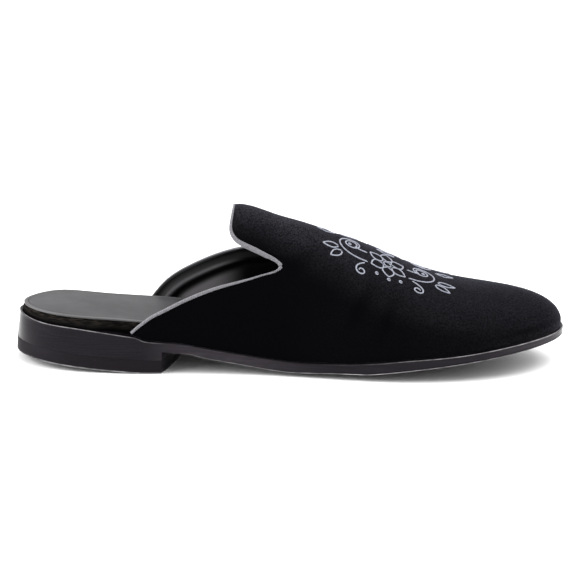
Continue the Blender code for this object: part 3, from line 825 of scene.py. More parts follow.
def layered_object(name, layers):
    """A closed solid through a stack of grids: the first and last are its faces, the rims its sides."""
    rows, columns = layers[0].shape[:2]
    ids = np.arange(rows * columns).reshape(rows, columns)
    rim = rim_of(ids)
    depth = layers[0].shape[2]
    points = [layers[0].reshape(-1, depth)]
    loops = [rim]
    count = len(points[0])
    for layer in layers[1:-1]:
        points.append(layer.reshape(-1, depth)[rim])
        loops.append(count + np.arange(len(rim)))
        count += len(rim)
    points.append(layers[-1].reshape(-1, depth))
    loops.append(count + rim)
    faces = [grid_quads(ids)[:, ::-1], grid_quads(ids + count)]
    for low, high in zip(loops, loops[1:]):
        faces.append(np.column_stack([low, np.roll(low, -1), np.roll(high, -1), high]))
    return new_object(name, np.vstack(points), np.vstack(faces))


def tread(x):
    """0 under the heel seat, 1 where the sole is free of the heel."""
    return smooth_step(TREAD_EDGE_BACK, TREAD_EDGE_FRONT, x)


def crown(x):
    """How far the sole's underside is crowned: 0 under the heel seat, less at the waist than at the ball."""
    full = smooth_step(CROWN_FULL_BACK, CROWN_FULL_FRONT, x)
    return tread(x) * (CROWN_AT_WAIST + (1 - CROWN_AT_WAIST) * full)


# Edge of the sole from the underside up: inset from the outline, height over the underside, share of painted
# highlight
EDGE_FOOT = (
    (10.5, 0.62, 0.0),
    (7.0, 1.5, 0.0),
    (3.6, 2.5, 0.0),
    (1.4, 3.12, 0.0),
    (0.62, 3.36, 0.3),
    (0.3, 3.5, 1.0),
    (0.08, 3.72, 1.0),
    (0.02, 3.95, 0.0),
    (0.14, 4.2, 0.0),
    (0.2, 4.6, 0.0),
)
# and from the middle of the edge to its top: inset, depth below the top edge, share of painted highlight
EDGE_HEAD = (
    (0.14, 2.0, 0.0),
    (0.16, 1.4, 0.0),
    (0.08, 0.9, 0.0),
    (0.0, 0.6, 0.0),
    (0.08, 0.34, 0.5),
    (0.3, 0.14, 1.0),
    (0.55, 0.06, 0.0),
    (0.9, 0.02, 0.0),
)
SOLE_TOP_INSET = 1.4
# How strong the painted highlights are along the shoe: on the sole's lower edge, its upper edge, the heel's
# lower edge
PAINTED_EDGE_HIGHLIGHT_COLUMNS = ("x", "sole_low", "sole_high", "heel_low")
PAINTED_EDGE_HIGHLIGHT = (
    (0, 0.0, 0.24, 0.05),
    (14, 0.0, 0.43, 0.3),
    (50, 0.0, 0.33, 0.42),
    (73, 0.0, 0.1, 0.3),
    (80, 0.0, 0.0, 1.0),
    (92, 0.4, 0.0, 1.0),
    (106, 1.0, 0.0, 1.0),
    (150, 0.9, 0.0, 1.0),
    (168, 0.85, 0.03, 1.0),
    (195, 0.8, 0.1, 1.0),
    (235, 0.5, 0.43, 1.0),
    (270, 0.34, 0.48, 1.0),
    (298, 0.14, 0.29, 1.0),
)


def shaded(layer, shade):
    """The layer with its shade as a fourth value."""
    return np.dstack([layer, np.broadcast_to(shade, layer.shape[:2])])


def painted_highlight_layer(layer, edge_name, share):
    """The layer with its shade: how strong the painted highlight along the edge is at each place."""
    return shaded(layer, share * level(PAINTED_EDGE_HIGHLIGHT, PAINTED_EDGE_HIGHLIGHT_COLUMNS, edge_name, layer[..., 0]))


def add_outsole(finish):
    t = np.linspace(0, 1, SLAB_STATIONS + 1)
    free = tread(station_x(t))
    inset = SEAT_INSET + (CROWN_INSET - SEAT_INSET) * free
    layers = [painted_highlight_layer(raised(plan_grid(t, inset, SLAB_ACROSS), underside_at), "sole_low", 0.0)]
    for edge_inset, rise, share in EDGE_FOOT:
        plan = plan_grid(t, edge_inset * free, SLAB_ACROSS)
        x = plan[..., 0]
        layers.append(painted_highlight_layer(raised(plan, underside_at(x) + rise * crown(x)), "sole_low", share))
    for edge_inset, drop, share in EDGE_HEAD:
        plan = plan_grid(t, edge_inset, SLAB_ACROSS)
        layers.append(painted_highlight_layer(raised(plan, sole_top_at(plan[..., 0]) - drop), "sole_high", share))
    layers.append(painted_highlight_layer(raised(plan_grid(t, SOLE_TOP_INSET, SLAB_ACROSS), sole_top_at), "sole_high", 0.0))
    dress(layered_object("leather_outsole", layers), finish, "sole_leather", "outsole")


def heel_grid(inset, flare):
    """Plan points of the heel from its back to its slanted, bowed front face, flared all round but there."""
    share = np.linspace(0, 1, HEEL_ACROSS + 1)
    front = BREAST_LATERAL_X + BREAST_SLANT * (1 - (1 - share) ** BREAST_BOW) - inset
    rows = np.linspace(0, 1, HEEL_STATIONS + 1)
    lateral = edge("lateral", turn(front[0]) * rows, inset - flare)
    medial = edge("medial", turn(front[-1]) * rows, inset - flare)
    grid = rows_between(lateral, medial, HEEL_ACROSS)
    straight = front[0] * (1 - share) + front[-1] * share
    grid[..., 0] += (rows**BREAST_FADE)[:, None] * (front - straight)[None, :]
    return grid


# Edge of the heel block from its lift up: inset, height, share of the way to the sole, share of painted
# highlight
HEEL_EDGE = (
    (0.08, 0.04, 0.0, 0.0),
    (0.0, 0.14, 0.0, 0.0),
    (0.0, -0.05, 1.0, 0.0),
    (0.0, -0.02, 1.0, 0.0),
)
# Edge of the lift from the floor up, with the same columns up to the heel block
LIFT_EDGE = (
    (0.9, 0.0, 0.0, 0.0),
    (0.35, 0.0, 0.0, 0.5),
    (0.12, 0.06, 0.0, 0.8),
    (0.0, 0.22, 0.0, 1.0),
    (0.0, 0.55, 0.0, 1.0),
    (0.0, 0.85, 0.0, 0.0),
    (0.0, -0.12, 1.0, 0.0),
    (0.06, 0.0, 1.0, 0.0),
)


def heel_rise(x):
    """Height of the heel's underside over the floor."""
    return HEEL_BACK_RISE * np.clip(1 - x / HEEL_FLAT_X, 0, 1) ** HEEL_RISE_POWER


def lift_top(x):
    return heel_rise(x) + TOP_LIFT_HEIGHT


def heel_layers(profile, low, high, top_flare):
    """Grids of the heel between two heights, by a profile of its edge."""
    layers = []
    for inset, rise, share, highlight in profile:
        plan = heel_grid(inset, HEEL_FLARE + (top_flare - HEEL_FLARE) * share)
        x = plan[..., 0]
        layers.append(painted_highlight_layer(raised(plan, low(x) + (high(x) - low(x)) * share + rise), "heel_low", highlight))
    return layers


def add_heel(finish):
    piece = layered_object("stacked_heel", heel_layers(HEEL_EDGE, lift_top, underside_at, 0.0))
    dress(piece, finish, "heel_leather", "heel_block")


def add_top_lift(finish):
    piece = layered_object("heel_lift", heel_layers(LIFT_EDGE, heel_rise, lift_top, HEEL_FLARE))
    dress(piece, finish, "top_lift_rubber", "heel_top_lift")


def inside_upper(x):
    """0 at the open heel, 1 where the footbed lies between the upper's walls."""
    return smooth_step(OPEN_HEEL_BACK, OPEN_HEEL_FRONT, x)


def footbed_surface(plan):
    """Heights of the footbed over a plan grid, with its medial edge tipped up into the arch."""
    share = np.linspace(-1, 1, plan.shape[1])
    return footbed_at(plan[..., 0]) + arch_at(plan[..., 0]) * np.clip(share, 0, 1) ** ARCH_POWER


# Wall of the footbed from the sole up: share of the way from its foot's inset to its top's, further inset,
# share of its height
WALL_PROFILE = (
    (0.0, 0.5, 0.0),
    (0.02, 0.12, 0.08),
    (0.1, -0.15, 0.25),
    (0.35, -0.3, 0.5),
    (0.7, -0.2, 0.74),
    (0.92, 0.0, 0.9),
    (1.0, 0.3, 0.98),
)
WALL_TOP_INSET = 1.0
# Painted shade: the wall is painted darker towards its foot, under the sock, by this power of its height
# share
WALL_PAINTED_SHADE_POWER = 2.2
WALL_RIPPLE = 0.1
RIPPLE_WAVES = ((31, 0.4, 0.5), (53, 1.7, 0.3), (97, 2.9, 0.2))


def ripple(t):
    """A small uneven wave along the stations."""
    return sum(size * np.sin(2 * np.pi * waves * t + shift) for waves, shift, size in RIPPLE_WAVES)


def add_footbed(finish):
    t = np.linspace(0, 1, SLAB_STATIONS + 1)
    inset = footbed_inset(station_x(t))

    def wall_layer(plan, share):
        low = sole_top_at(plan[..., 0]) + FOOTBED_CLEARANCE
        high = footbed_surface(plan) - SOCK_THICKNESS - FOOTBED_CLEARANCE
        return shaded(raised(plan, low + (high - low) * share), share**WALL_PAINTED_SHADE_POWER)

    layers = []
    foot_inset = inset + (FOOTBED_FOOT_INSET - inset) * (1 - inside_upper(station_x(t)))
    for lean, wall_inset, share in WALL_PROFILE:
        uneven = WALL_RIPPLE * (ripple(t) + 1) * np.sin(np.pi * share)
        plan = plan_grid(t, foot_inset + (inset - foot_inset) * lean + wall_inset + uneven, SLAB_ACROSS)
        layers.append(wall_layer(plan, share))
    layers.append(wall_layer(plan_grid(t, inset + WALL_TOP_INSET, SLAB_ACROSS), 1.0))
    piece = layered_object("padded_footbed", layers)
    dress(piece, finish, "footbed_wrap", "insole")


# Edge of the sock from below: inset, height from the sock's top at its edge, how pale it is painted, a
# painted highlight along the rim
SOCK_EDGE = (
    (0.12, -1.02, 0.0),
    (0.0, -0.78, 0.0),
    (0.0, -0.5, 0.2),
    (0.1, -0.22, 0.5),
    (0.36, -0.05, 0.8),
    (0.8, 0.0, 0.8),
    (1.5, 0.02, 0.5),
    (1.9, -0.06, 0.3),
    (2.3, -0.5, 0.0),
    (2.8, -0.08, 0.1),
    (3.2, 0.03, 0.15),
)
SOCK_FIELD_INSET = 3.8
SOCK_ACROSS = 30
SOCK_WAVE = 0.12
SOCK_WAVE_LENGTH = 23.0
SOCK_WAVE_X = (50.0, 90.0)


def sock_dome(t, inset, share):
    """Height of the sock over its edge: a low dome across, with a soft wave along the waist."""
    x = station_x(t)
    half = (edge("medial", t, inset)[:, 1] - edge("lateral", t, inset)[:, 1]) / 2
    full = half + inset - footbed_inset(x)
    across = np.abs(share) * (half / np.maximum(full, WELD))[:, None]
    low = SOCK_DOME * (1 - np.minimum(across, 1) ** 2) * np.sqrt(np.abs(np.sin(np.pi * t)))[:, None]
    wave = SOCK_WAVE * np.sin(2 * np.pi * x / SOCK_WAVE_LENGTH) * smooth_step(*SOCK_WAVE_X, x)
    return low + wave[:, None] * (1 - share**2) ** 2


def add_sock(finish):
    t = np.linspace(0, 1, SLAB_STATIONS + 1)
    inset = footbed_inset(station_x(t)) - SOCK_OVERHANG * (1 - inside_upper(station_x(t)))
    share = np.linspace(-1, 1, SOCK_ACROSS + 1)[None, :]
    plan = plan_grid(t, inset + SOCK_EDGE[0][0] + SOCK_OVERHANG, SOCK_ACROSS)
    layers = [shaded(raised(plan, footbed_surface(plan) - SOCK_THICKNESS), 0.0)]
    for edge_inset, height, pale in (*SOCK_EDGE, (SOCK_FIELD_INSET, 0.0, 0.0)):
        plan = plan_grid(t, inset + edge_inset, SOCK_ACROSS)
        dome = sock_dome(t, inset + edge_inset, share)
        layers.append(shaded(raised(plan, footbed_surface(plan) + height + dome), pale))
    dress(layered_object("leather_sock", layers), finish, "sock_leather", "sock")


def vamp_frame(u, s):
    """Points and outward directions on the vamp at the distance s from the ridge at x = u."""
    points, normals = np.zeros((len(u), 3)), np.zeros((len(u), 3))
    t = ridge_station(u)
    q_line = np.linspace(1.0, ARC_LOW_Q, ARC_SAMPLES)
    for side, mine in (("lateral", s <= 0), ("medial", s > 0)):
        if not mine.any():
            continue
        profiles = upper_points(side, t[mine][:, None], q_line[None, :])
        steps = np.linalg.norm(np.diff(profiles, axis=1), axis=2)
        length = np.hstack([np.zeros((len(steps), 1)), np.cumsum(steps, axis=1)])
        q = [np.interp(wanted, line, q_line) for wanted, line in zip(np.abs(s[mine]), length)]
        q = np.minimum(q, 1 - SLOPE_STEP)
        found, _, _, normal = surface_frame(side, t[mine], q)
        points[mine] = found - normal * crease_depth(u[mine], s[mine])[:, None]
        normals[mine] = normal
    return points, normals


def resampled(line, step):
    """Even points along a line of (u, s) points."""
    line = np.asarray(line, float)
    length = run(line)
    count = max(THREAD_LEAST_POINTS, int(round(length[-1] / step)) + 1)
    fine = np.linspace(0, length[-1], count)
    return fine, np.column_stack([np.interp(fine, length, line[:, k]) for k in (0, 1)])


def thread_rings(line, width, height):
    """Rings of a raised, wrapped strand along a line of (u, s) points."""
    length, line = resampled(line, THREAD_STEP)
    points, normals = vamp_frame(line[:, 0], line[:, 1])
    tangents = unit(np.gradient(points, axis=0))
    across = unit(np.cross(normals, tangents))
    from_end = np.minimum(length, length[-1] - length)
    taper = np.sqrt(np.clip(from_end / width, THREAD_END, 1))[:, None]
    angle = np.linspace(0, 2 * np.pi, THREAD_AROUND, endpoint=False)
    phase = 2 * np.pi * (length[:, None] + THREAD_SLANT * width * np.cos(angle)) / THREAD_PITCH
    wrap = 1 - THREAD_GROOVE * np.abs(np.cos(phase / 2)) ** THREAD_GROOVE_POWER
    aside = width / 2 * np.cos(angle) * wrap * taper
    up = height * np.maximum(np.sin(angle), THREAD_SUNK * np.sin(angle)) * wrap * taper
    return rings_round(points, across, normals, aside, up)


def turned(points, angle, origin):
    """Local (along, across) points turned by an angle in degrees and set at an origin (u, s)."""
    c, s = np.cos(np.radians(angle)), np.sin(np.radians(angle))
    return np.asarray(points) @ np.array([[c, s], [-s, c]]) + origin


def petal(origin, angle, length, width):
    """Outline of a petal as one closed line, with a point at its foot."""
    share = np.linspace(0, 1, PETAL_SAMPLES)
    half = width / 2 * np.sin(np.pi * share**PETAL_LEAN) ** PETAL_ROUND
    out = np.column_stack([share * length, half])
    back = np.column_stack([share[::-1] * length, -half[::-1]])
    return turned(np.vstack([out, back[1:]]), angle, origin)


def ring(origin, radius):
    angle = np.linspace(0, 2 * np.pi, RING_SAMPLES)
    return np.column_stack([np.cos(angle), np.sin(angle)]) * radius + origin


def scroll(origin, angle, length, first_bend, last_bend):
    """A curve whose bend (degrees per mm) changes evenly along it, so that it ends in a curl."""
    share = np.linspace(0, 1, SCROLL_SAMPLES)
    bend = first_bend + (last_bend - first_bend) * share
    step = length / (len(share) - 1)
    heading = np.radians(angle + np.cumsum(bend) * step)
    path = np.cumsum(np.column_stack([np.cos(heading), np.sin(heading)]) * step, axis=0)
    return path + origin


# Motif on the vamp: u along the ridge, s away from it. The buds, scrolls and dots are those of one quarter,
# with u from the motif's middle, and are mirrored towards the toe and to the other side
MOTIF_U = 198.0
ROSETTE = (MOTIF_U, 14.6)
ROSETTE_PETALS = 6
ROSETTE_EYE = 2.0
ROSETTE_GAP = 0.9
ROSETTE_PETAL = (7.6, 6.2)
# u, s, angle in degrees, length, width
BUDS = (
    (-27.0, 14.0, 172, 8.4, 4.0),
    (-25.4, 17.2, 140, 8.0, 4.0),
)
# u, s, angle in degrees, length, bend at the start and at the end in degrees per mm
SCROLLS = (
    (-10.6, 19.6, 182, 62.0, 1.0, 21.0),
    (-10.8, 11.4, 182, 7.0, 0.0, 8.0),
    (-12.6, 21.0, 150, 20.0, 2.0, -44.0),
)
DOTS = ((-6.4, 25.6), (-20.2, 8.4))
MIDDLE_DOT = (MOTIF_U, 27.2)
DOT_RADIUS = 0.7
LOZENGES_U = (MOTIF_U - 33.0, MOTIF_U, MOTIF_U + 33.0)
LOZENGE = (5.0, 2.4)


def lozenge(u):
    length, width = LOZENGE
    return np.array([(u - length, 0), (u, width), (u + length, 0), (u, -width), (u - length, 0)])


def motif():
    """Lines of the motif, as (u, s) points on both sides of the ridge."""
    lines = [ring(ROSETTE, ROSETTE_EYE), ring(MIDDLE_DOT, DOT_RADIUS)]
    for k in range(ROSETTE_PETALS):
        angle = 360 * (k + 0.5) / ROSETTE_PETALS
        foot = turned([(ROSETTE_EYE + ROSETTE_GAP, 0.0)], angle, ROSETTE)[0]
        lines.append(petal(foot, angle, *ROSETTE_PETAL))
    for end, start in ((1, 0), (-1, 180)):
        for u, s, angle, *size in BUDS:
            lines.append(petal((MOTIF_U + end * u, s), start + end * angle, *size))
        for u, s, angle, length, first, last in SCROLLS:
            lines.append(scroll((MOTIF_U + end * u, s), start + end * angle, length, end * first, end * last))
        lines += [ring((MOTIF_U + end * u, s), DOT_RADIUS) for u, s in DOTS]
    lines += [line * (1, -1) for line in lines]
    return lines + [lozenge(u) for u in LOZENGES_U]


def add_embroidery(finish):
    points, faces = [], []
    count = 0
    for line in motif():
        rings = thread_rings(line, LINE_WIDTH, LINE_HEIGHT)
        faces += [[index + count for index in face] for face in tube_faces(len(rings), THREAD_AROUND)]
        points.append(rings.reshape(-1, 3))
        count += len(points[-1])
    dress(new_object("embroidery", np.vstack(points), faces), finish, "grosgrain")


def add_node(tree, kind, inputs=None, settings=None):
    """A shader node with its inputs linked to a socket or set to a value, and its settings."""
    made = tree.nodes.new(kind)
    for name, value in (settings or {}).items():
        setattr(made, name, value)
    for name, value in (inputs or {}).items():
        if isinstance(value, bpy.types.NodeSocket):
            tree.links.new(value, made.inputs[name])
        else:
            made.inputs[name].default_value = value
    return made


def new_finish(name, values):
    """A material, its node tree and its shader, with the shader's constant values."""
    finish = bpy.data.materials.new(name)
    finish.use_nodes = True
    shader = finish.node_tree.nodes["Principled BSDF"]
    for socket, value in values.items():
        shader.inputs[socket].default_value = value
    return finish, finish.node_tree, shader


def connect(tree, shader, colour, normal, roughness=None):
    """The shader takes these sockets."""
    found = {"Base Color": colour, "Normal": normal, "Roughness": roughness}
    for name, socket in found.items():
        if socket is not None:
            tree.links.new(socket, shader.inputs[name])


def place_in_part(tree):
    return add_node(tree, "ShaderNodeTexCoord").outputs["Object"]


def noise(tree, scale, detail=3.0, stretch=(1, 1, 1)):
    """Noise in the part's own space, `scale` cells to the metre."""
    moved = add_node(tree, "ShaderNodeMapping", {"Vector": place_in_part(tree), "Scale": stretch})
    inputs = {"Vector": moved.outputs["Vector"], "Scale": scale, "Detail": detail}
    return add_node(tree, "ShaderNodeTexNoise", inputs).outputs["Fac"]


def ramp(tree, share, stops):
    """A colour that goes through the stops, each of them a share and a colour."""
    made = add_node(tree, "ShaderNodeValToRGB", {"Fac": share})
    elements = made.color_ramp.elements
    for element, (position, colour) in zip(list(elements), (stops[0], stops[-1])):
        element.position = position
        element.color = (*colour, 1.0)
    for position, colour in stops[1:-1]:
        elements.new(position).color = (*colour, 1.0)
    return made.outputs["Color"]


def blended(tree, share, low, high, start=0.0, end=1.0):
    """A colour between two, as the share goes from start to end."""
    return ramp(tree, share, ((start, low), (end, high)))


def ranged(tree, share, low, high, start=0.0, end=1.0):
    """The share spread from low to high as it goes from start to end."""
    inputs = {"Value": share, "From Min": start, "From Max": end, "To Min": low, "To Max": high}
    return add_node(tree, "ShaderNodeMapRange", inputs).outputs["Result"]


def bumped(tree, height, strength, depth_mm, before=None):
    inputs = {"Height": height, "Strength": strength, "Distance": depth_mm * MM}
    if before is not None:
        inputs["Normal"] = before
    return add_node(tree, "ShaderNodeBump", inputs).outputs["Normal"]


def shade_of(tree):
    """The shade kept in the mesh."""
    return add_node(tree, "ShaderNodeAttribute", None, {"attribute_name": SHADE}).outputs["Fac"]


def product(tree, first, second):
    return add_node(tree, "ShaderNodeMath", {0: first, 1: second}, {"operation": "MULTIPLY"}).outputs["Value"]


def mixed(tree, share, first, second):
    inputs = {"Fac": share, "Color1": first, "Color2": second}
    return add_node(tree, "ShaderNodeMixRGB", inputs).outputs["Color"]


# In the finishes a noise is given as cells to the metre, detail and stretch, and a bump as its strength and
# its depth in millimetres. Colours are the dark and the light one, and a range is its low and its high end.
# Where the shares at which these start and end aren't 0 and 1, they follow.
VELVET_VALUES = {
    "Roughness": 0.9,
    "Specular IOR Level": 0.0,
    "Sheen Weight": 0.12,
    "Sheen Roughness": 0.3,
    "Sheen Tint": (0.80, 0.80, 1.0, 1.0),
}
# The dark velvet colour is its own; the light one is painted highlight, shown as far as the mesh's shade says
VELVET_COLOURS = ((0.0017, 0.0016, 0.0020), (0.027, 0.026, 0.031))
VELVET_PATCHES, PATCH_RANGE = (60, 4.0, (0.6, 1.0, 1.0)), (0.3, 1.2)
VELVET_GRAIN, GRAIN_RANGE = (1150, 2.0), (0.3, 1.7, 0.36, 0.64)
VELVET_NAP, NAP_BUMP = (900, 3.0, (0.6, 1.0, 1.0)), (0.4, 0.5)
VELVET_FIBRES, FIBRE_BUMP = (2600, 2.0), (0.5, 0.25)


def velvet_finish():
    finish, tree, shader = new_finish("black_velvet", VELVET_VALUES)
    patches = ranged(tree, noise(tree, *VELVET_PATCHES), *PATCH_RANGE)
    grain = ranged(tree, noise(tree, *VELVET_GRAIN), *GRAIN_RANGE)
    # The mesh's shade is painted highlight less painted crease shade, mottled here by the patches and grain
    pale = product(tree, shade_of(tree), product(tree, patches, grain))
    nap = bumped(tree, noise(tree, *VELVET_NAP), *NAP_BUMP)
    fibres = bumped(tree, noise(tree, *VELVET_FIBRES), *FIBRE_BUMP, nap)
    connect(tree, shader, blended(tree, pale, *VELVET_COLOURS), fibres)
    return finish


# The pale colour of each leather is painted light: a highlight along the lining's roll, light on its lower
# part, a highlight along the sock's rim
LEATHERS = {
    "lining_leather": {
        "colours": ((0.0015, 0.0015, 0.0017), (0.003, 0.003, 0.0033), 0.3, 0.7),
        "painted_light_colour": (0.16, 0.153, 0.16, 1.0),
        "roughness": (0.34, 0.48),
        "specular": 0.16,
    },
    "sock_leather": {
        "colours": ((0.038, 0.037, 0.0395), (0.059, 0.057, 0.060), 0.3, 0.7),
        "painted_light_colour": (0.10, 0.097, 0.10, 1.0),
        "roughness": (0.36, 0.52),
        "specular": 0.45,
    },
}
LEATHER_SHADES = (42, 4.0)
LEATHER_SMEAR, SMEAR_BUMP = (160, 4.0), (0.08, 0.6)
LEATHER_PEBBLES, PEBBLE_BUMP = 1500.0, (0.12, 0.2)


def leather_finish(name, colours, painted_light_colour, roughness, specular):
    """Leather with a fine pebbled grain and a slow change of shade, and a pale colour for painted light and
    highlights, as far as the shade kept in the mesh says.
    """
    finish, tree, shader = new_finish(name, {"Specular IOR Level": specular})
    colour = blended(tree, noise(tree, *LEATHER_SHADES), *colours)
    smear = noise(tree, *LEATHER_SMEAR)
    inputs = {"Vector": place_in_part(tree), "Scale": LEATHER_PEBBLES}
    pebbles = add_node(tree, "ShaderNodeTexVoronoi", inputs, {"feature": "SMOOTH_F1"}).outputs["Distance"]
    normal = bumped(tree, smear, *SMEAR_BUMP, bumped(tree, pebbles, *PEBBLE_BUMP))
    colour = mixed(tree, shade_of(tree), colour, painted_light_colour)
    connect(tree, shader, colour, normal, ranged(tree, smear, *roughness))
    return finish


WRAP_FIBRES = (700, 5.0, (0.3, 0.3, 2.2))
FABRICS = {
    "grey_grosgrain": {
        "values": {"Specular IOR Level": 0.3, "Sheen Weight": 0.25, "Sheen Roughness": 0.4},
        "shades": (1600, 3.0),
        "colours": ((0.105, 0.102, 0.112), (0.235, 0.23, 0.25), 0.3, 0.7),
        "roughness": (0.55, 0.8),
        "fibres": (4200, 2.0),
        "bump": (0.35, 0.12),
        # Dark colour of the tape's inner side, also used for painted shade between its ribs
        "dark": (0.03, 0.03, 0.033, 1.0),
    },
    "grey_thread": {
        "values": {"Specular IOR Level": 0.45, "Sheen Weight": 0.15, "Anisotropic": 0.4},
        "shades": (1400, 2.0),
        "colours": ((0.145, 0.155, 0.195), (0.315, 0.33, 0.395), 0.3, 0.7),
        "roughness": (0.4, 0.6),
        "fibres": (5200, 2.0),
        "bump": (0.3, 0.1),
    },
    "footbed_wrap": {
        "values": {"Specular IOR Level": 0.04},
        "shades": WRAP_FIBRES,
        "colours": ((0.002, 0.0017, 0.0015), (0.045, 0.038, 0.031), 0.42, 0.72),
        "roughness": (0.75, 0.95),
        "fibres": WRAP_FIBRES,
        "bump": (0.8, 0.5),
        # Painted shade at the foot of the footbed's wall
        "dark": (0.0022, 0.0020, 0.0021, 1.0),
    },
}


def fabric_finish(name, values, shades, colours, roughness, fibres, bump, dark=None):
    """Fibres in two shades. A dark colour shows where the shade kept in the mesh is 0, if one is given."""
    finish, tree, shader = new_finish(name, values)
    shade = noise(tree, *shades)
    colour = blended(tree, shade, *colours)
    if dark:
        colour = mixed(tree, shade_of(tree), dark, colour)
    normal = bumped(tree, noise(tree, *fibres), *bump)
    connect(tree, shader, colour, normal, ranged(tree, shade, *roughness))
    return finish


# Finish of the sole's and the heel's edge, and of the lift
EDGE_TINT = (0.95, 0.86, 1.0, 1.0)
EDGE_VALUES = {"Specular IOR Level": 0.13, "Specular Tint": EDGE_TINT}
EDGE_ROUGHNESS = (0.14, 0.26)
HEEL_COLOURS = ((0.0020, 0.0015, 0.0023), (0.0058, 0.0046, 0.0064), 0.3, 0.75)
HEEL_LINES = (420, 4.0, (0.12, 0.12, 2.6))
SOLE_COLOURS = ((0.0185, 0.0160, 0.0185), (0.041, 0.0365, 0.0415), 0.3, 0.75)
SOLE_LINES = (420, 4.0, (0.12, 0.12, 1.6))
LINE_BUMP = (0.1, 0.3)
EDGE_GRAIN, EDGE_GRAIN_BUMP = (1900, 3.0, (0.5, 0.5, 1.0)), (0.08, 0.15)
# Painted highlight colour along the edges' corners, broken up along them by a noise
PAINTED_HIGHLIGHT_COLOUR = (0.62, 0.605, 0.62, 1.0)
HIGHLIGHT_BREAKS, HIGHLIGHT_BREAK_RANGE = (170, 3.0), (0.45, 1.15, 0.35, 0.6)
LIFT_VALUES = {"Specular IOR Level": 0.08, "Specular Tint": EDGE_TINT}
LIFT_SPECKLE, SPECKLE_BUMP = (3000, 3.0), (0.15, 0.15)
LIFT_COLOURS = ((0.0046, 0.0038, 0.0048), (0.0112, 0.0094, 0.0116), 0.3, 0.7)
LIFT_SMEAR, LIFT_ROUGHNESS = (150, 3.0), (0.45, 0.62)
# Painted highlight colour along the lift's lower edge
LIFT_PAINTED_HIGHLIGHT_COLOUR = (0.62, 0.61, 0.62, 1.0)
# How pale the edge is along the shoe, from the heel's colours at 0 to the sole's at 1
EDGE_TONE = (
    (0, 0.0),
    (66, 0.0),
    (90, 0.7),
    (126, 0.7),
    (152, 0.3),
    (168, 0.08),
    (246, 0.1),
    (264, 0.45),
    (284, 0.8),
    (298, 0.8),
)


def edge_tone(tree):
    """How pale the edge is along the shoe."""
    along = add_node(tree, "ShaderNodeSeparateXYZ", {"Vector": place_in_part(tree)}).outputs["X"]
    share = ranged(tree, along, 0.0, 1.0, -MIDDLE_X * MM, (LENGTH - MIDDLE_X) * MM)
    return ramp(tree, share, [(x / LENGTH, (pale, pale, pale)) for x, pale in EDGE_TONE])


def with_painted_highlight(tree, colour, highlight_colour):
    """The colour with a painted highlight colour over it along the edge, broken up along the edge."""
    breaks = ranged(tree, noise(tree, *HIGHLIGHT_BREAKS), *HIGHLIGHT_BREAK_RANGE)
    return mixed(tree, product(tree, shade_of(tree), breaks), colour, highlight_colour)


def edge_finish():
    """Burnished edge with fine lines along the layers, darker at the heel, with painted highlights along its
    corners.
    """
    finish, tree, shader = new_finish("edge_leather", EDGE_VALUES)
    lines = noise(tree, *HEEL_LINES)
    heel = blended(tree, lines, *HEEL_COLOURS)
    sole = blended(tree, noise(tree, *SOLE_LINES), *SOLE_COLOURS)
    colour = with_painted_highlight(tree, mixed(tree, edge_tone(tree), heel, sole), PAINTED_HIGHLIGHT_COLOUR)
    normal = bumped(tree, noise(tree, *EDGE_GRAIN), *EDGE_GRAIN_BUMP, bumped(tree, lines, *LINE_BUMP))
    connect(tree, shader, colour, normal, ranged(tree, lines, *EDGE_ROUGHNESS))
    return finish


# Rubber lift with fine speckles, and a painted highlight along its lower edge
def rubber_finish():
    finish, tree, shader = new_finish("black_rubber", LIFT_VALUES)
    speckle = noise(tree, *LIFT_SPECKLE)
    colour = with_painted_highlight(tree, blended(tree, speckle, *LIFT_COLOURS), LIFT_PAINTED_HIGHLIGHT_COLOUR)
    roughness = ranged(tree, noise(tree, *LIFT_SMEAR), *LIFT_ROUGHNESS)
    connect(tree, shader, colour, bumped(tree, speckle, *SPECKLE_BUMP), roughness)
    return finish


# Camera at the photograph's angle, with the slight roll of its level
CAMERA_AIM_MM = (146.5, 0.0, 38.2)
CAMERA_AZIMUTH_DEG = -4.0
CAMERA_ELEVATION_DEG = 15.5
CAMERA_ROLL_DEG = 1.9
CAMERA_DISTANCE_MM = 1700.0
PIXELS_PER_MM = 1.836
IMAGE_PIXELS = 580
SENSOR_MM = 36.0


def stand(thing, right, up, back, spot):
    """Puts a camera or a light in the scene, by its three axes and its place in metres."""
    matrix = np.eye(4)
    matrix[:3] = np.column_stack([right, up, back, spot])
    thing.matrix_world = Matrix(matrix.tolist())
    bpy.context.scene.collection.objects.link(thing)


def add_camera():
    azimuth, elevation, roll = np.radians((CAMERA_AZIMUTH_DEG, CAMERA_ELEVATION_DEG, CAMERA_ROLL_DEG))
    horizon = np.array([np.cos(azimuth), np.sin(azimuth), 0.0])
    back = np.array([np.sin(azimuth), -np.cos(azimuth), 0.0]) * np.cos(elevation)
    back[2] = np.sin(elevation)
    upright = np.cross(back, horizon)
    right = np.cos(roll) * horizon + np.sin(roll) * upright
    up = np.cos(roll) * upright - np.sin(roll) * horizon
    eye = place(CAMERA_AIM_MM) + back * CAMERA_DISTANCE_MM * MM
    lens = bpy.data.cameras.new("camera")
    lens.sensor_width = SENSOR_MM
    lens.lens = PIXELS_PER_MM * CAMERA_DISTANCE_MM * SENSOR_MM / IMAGE_PIXELS
    camera = bpy.data.objects.new("camera", lens)
    stand(camera, right, up, back, eye)
    bpy.context.scene.camera = camera


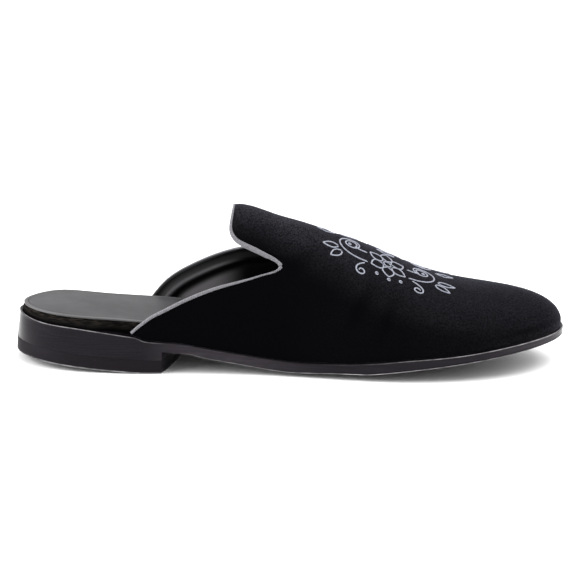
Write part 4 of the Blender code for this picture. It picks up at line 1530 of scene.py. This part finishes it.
# Soft lights: place and target in metres, width, height, power in watts
LIGHTS = {
    "top_softbox": ((0.65, 0.0, 1.2), (0.0, 0.0, 0.0), 1.1, 0.9, 15.0),
    "heel_softbox": ((-0.93, -0.22, 0.4), (-0.12, 0.0, 0.02), 0.95, 0.8, 13.0),
    "toe_softbox": ((0.9, 0.2, 0.4), (0.13, 0.0, 0.02), 0.7, 0.6, 4.0),
}
# Light from all round, at the horizon and straight above
HORIZON_LIGHT, ZENITH_LIGHT = 0.4, 1.2
FLOOR_SIZE = 8.0
FLOOR_VALUES = {"Base Color": (0.98, 0.98, 0.98, 1.0), "Roughness": 0.7}


def add_light(name, spot, target, width, height, power):
    lamp = bpy.data.lights.new(name, "AREA")
    lamp.shape = "RECTANGLE"
    lamp.size = width
    lamp.size_y = height
    lamp.energy = power
    back = unit(np.subtract(spot, target))
    right = unit(np.cross((0.0, 0.0, 1.0), back))
    stand(bpy.data.objects.new(name, lamp), right, np.cross(back, right), back, spot)


def add_studio():
    """A pale floor and soft light all round, stronger from above, with softboxes."""
    scene = bpy.context.scene
    scene.view_settings.view_transform = "Standard"
    world = bpy.data.worlds.new("studio")
    world.use_nodes = True
    tree = world.node_tree
    sky = tree.nodes["Background"]
    sky.inputs["Color"].default_value = (1.0, 1.0, 1.0, 1.0)
    direction = add_node(tree, "ShaderNodeTexCoord").outputs["Generated"]
    height = add_node(tree, "ShaderNodeSeparateXYZ", {"Vector": direction}).outputs["Z"]
    tree.links.new(ranged(tree, height, HORIZON_LIGHT, ZENITH_LIGHT), sky.inputs["Strength"])
    scene.world = world
    for name, settings in LIGHTS.items():
        add_light(name, *settings)
    mesh = bpy.data.meshes.new("floor")
    half = FLOOR_SIZE / 2
    corners = [(-half, -half, 0), (half, -half, 0), (half, half, 0), (-half, half, 0)]
    mesh.from_pydata(corners, [], [(0, 1, 2, 3)])
    finish, _, _ = new_finish("pale_floor", FLOOR_VALUES)
    mesh.materials.append(finish)
    floor = bpy.data.objects.new("floor", mesh)
    scene.collection.objects.link(floor)


def add_shoe():
    burnished = edge_finish()
    leathers = {name: leather_finish(name, **settings) for name, settings in LEATHERS.items()}
    fabrics = {name: fabric_finish(name, **settings) for name, settings in FABRICS.items()}
    add_velvet(velvet_finish())
    add_lining(leathers["lining_leather"])
    add_binding(fabrics["grey_grosgrain"])
    add_embroidery(fabrics["grey_thread"])
    add_outsole(burnished)
    add_heel(burnished)
    add_top_lift(rubber_finish())
    add_footbed(fabrics["footbed_wrap"])
    add_sock(leathers["sock_leather"])


add_camera()
add_studio()
add_shoe()
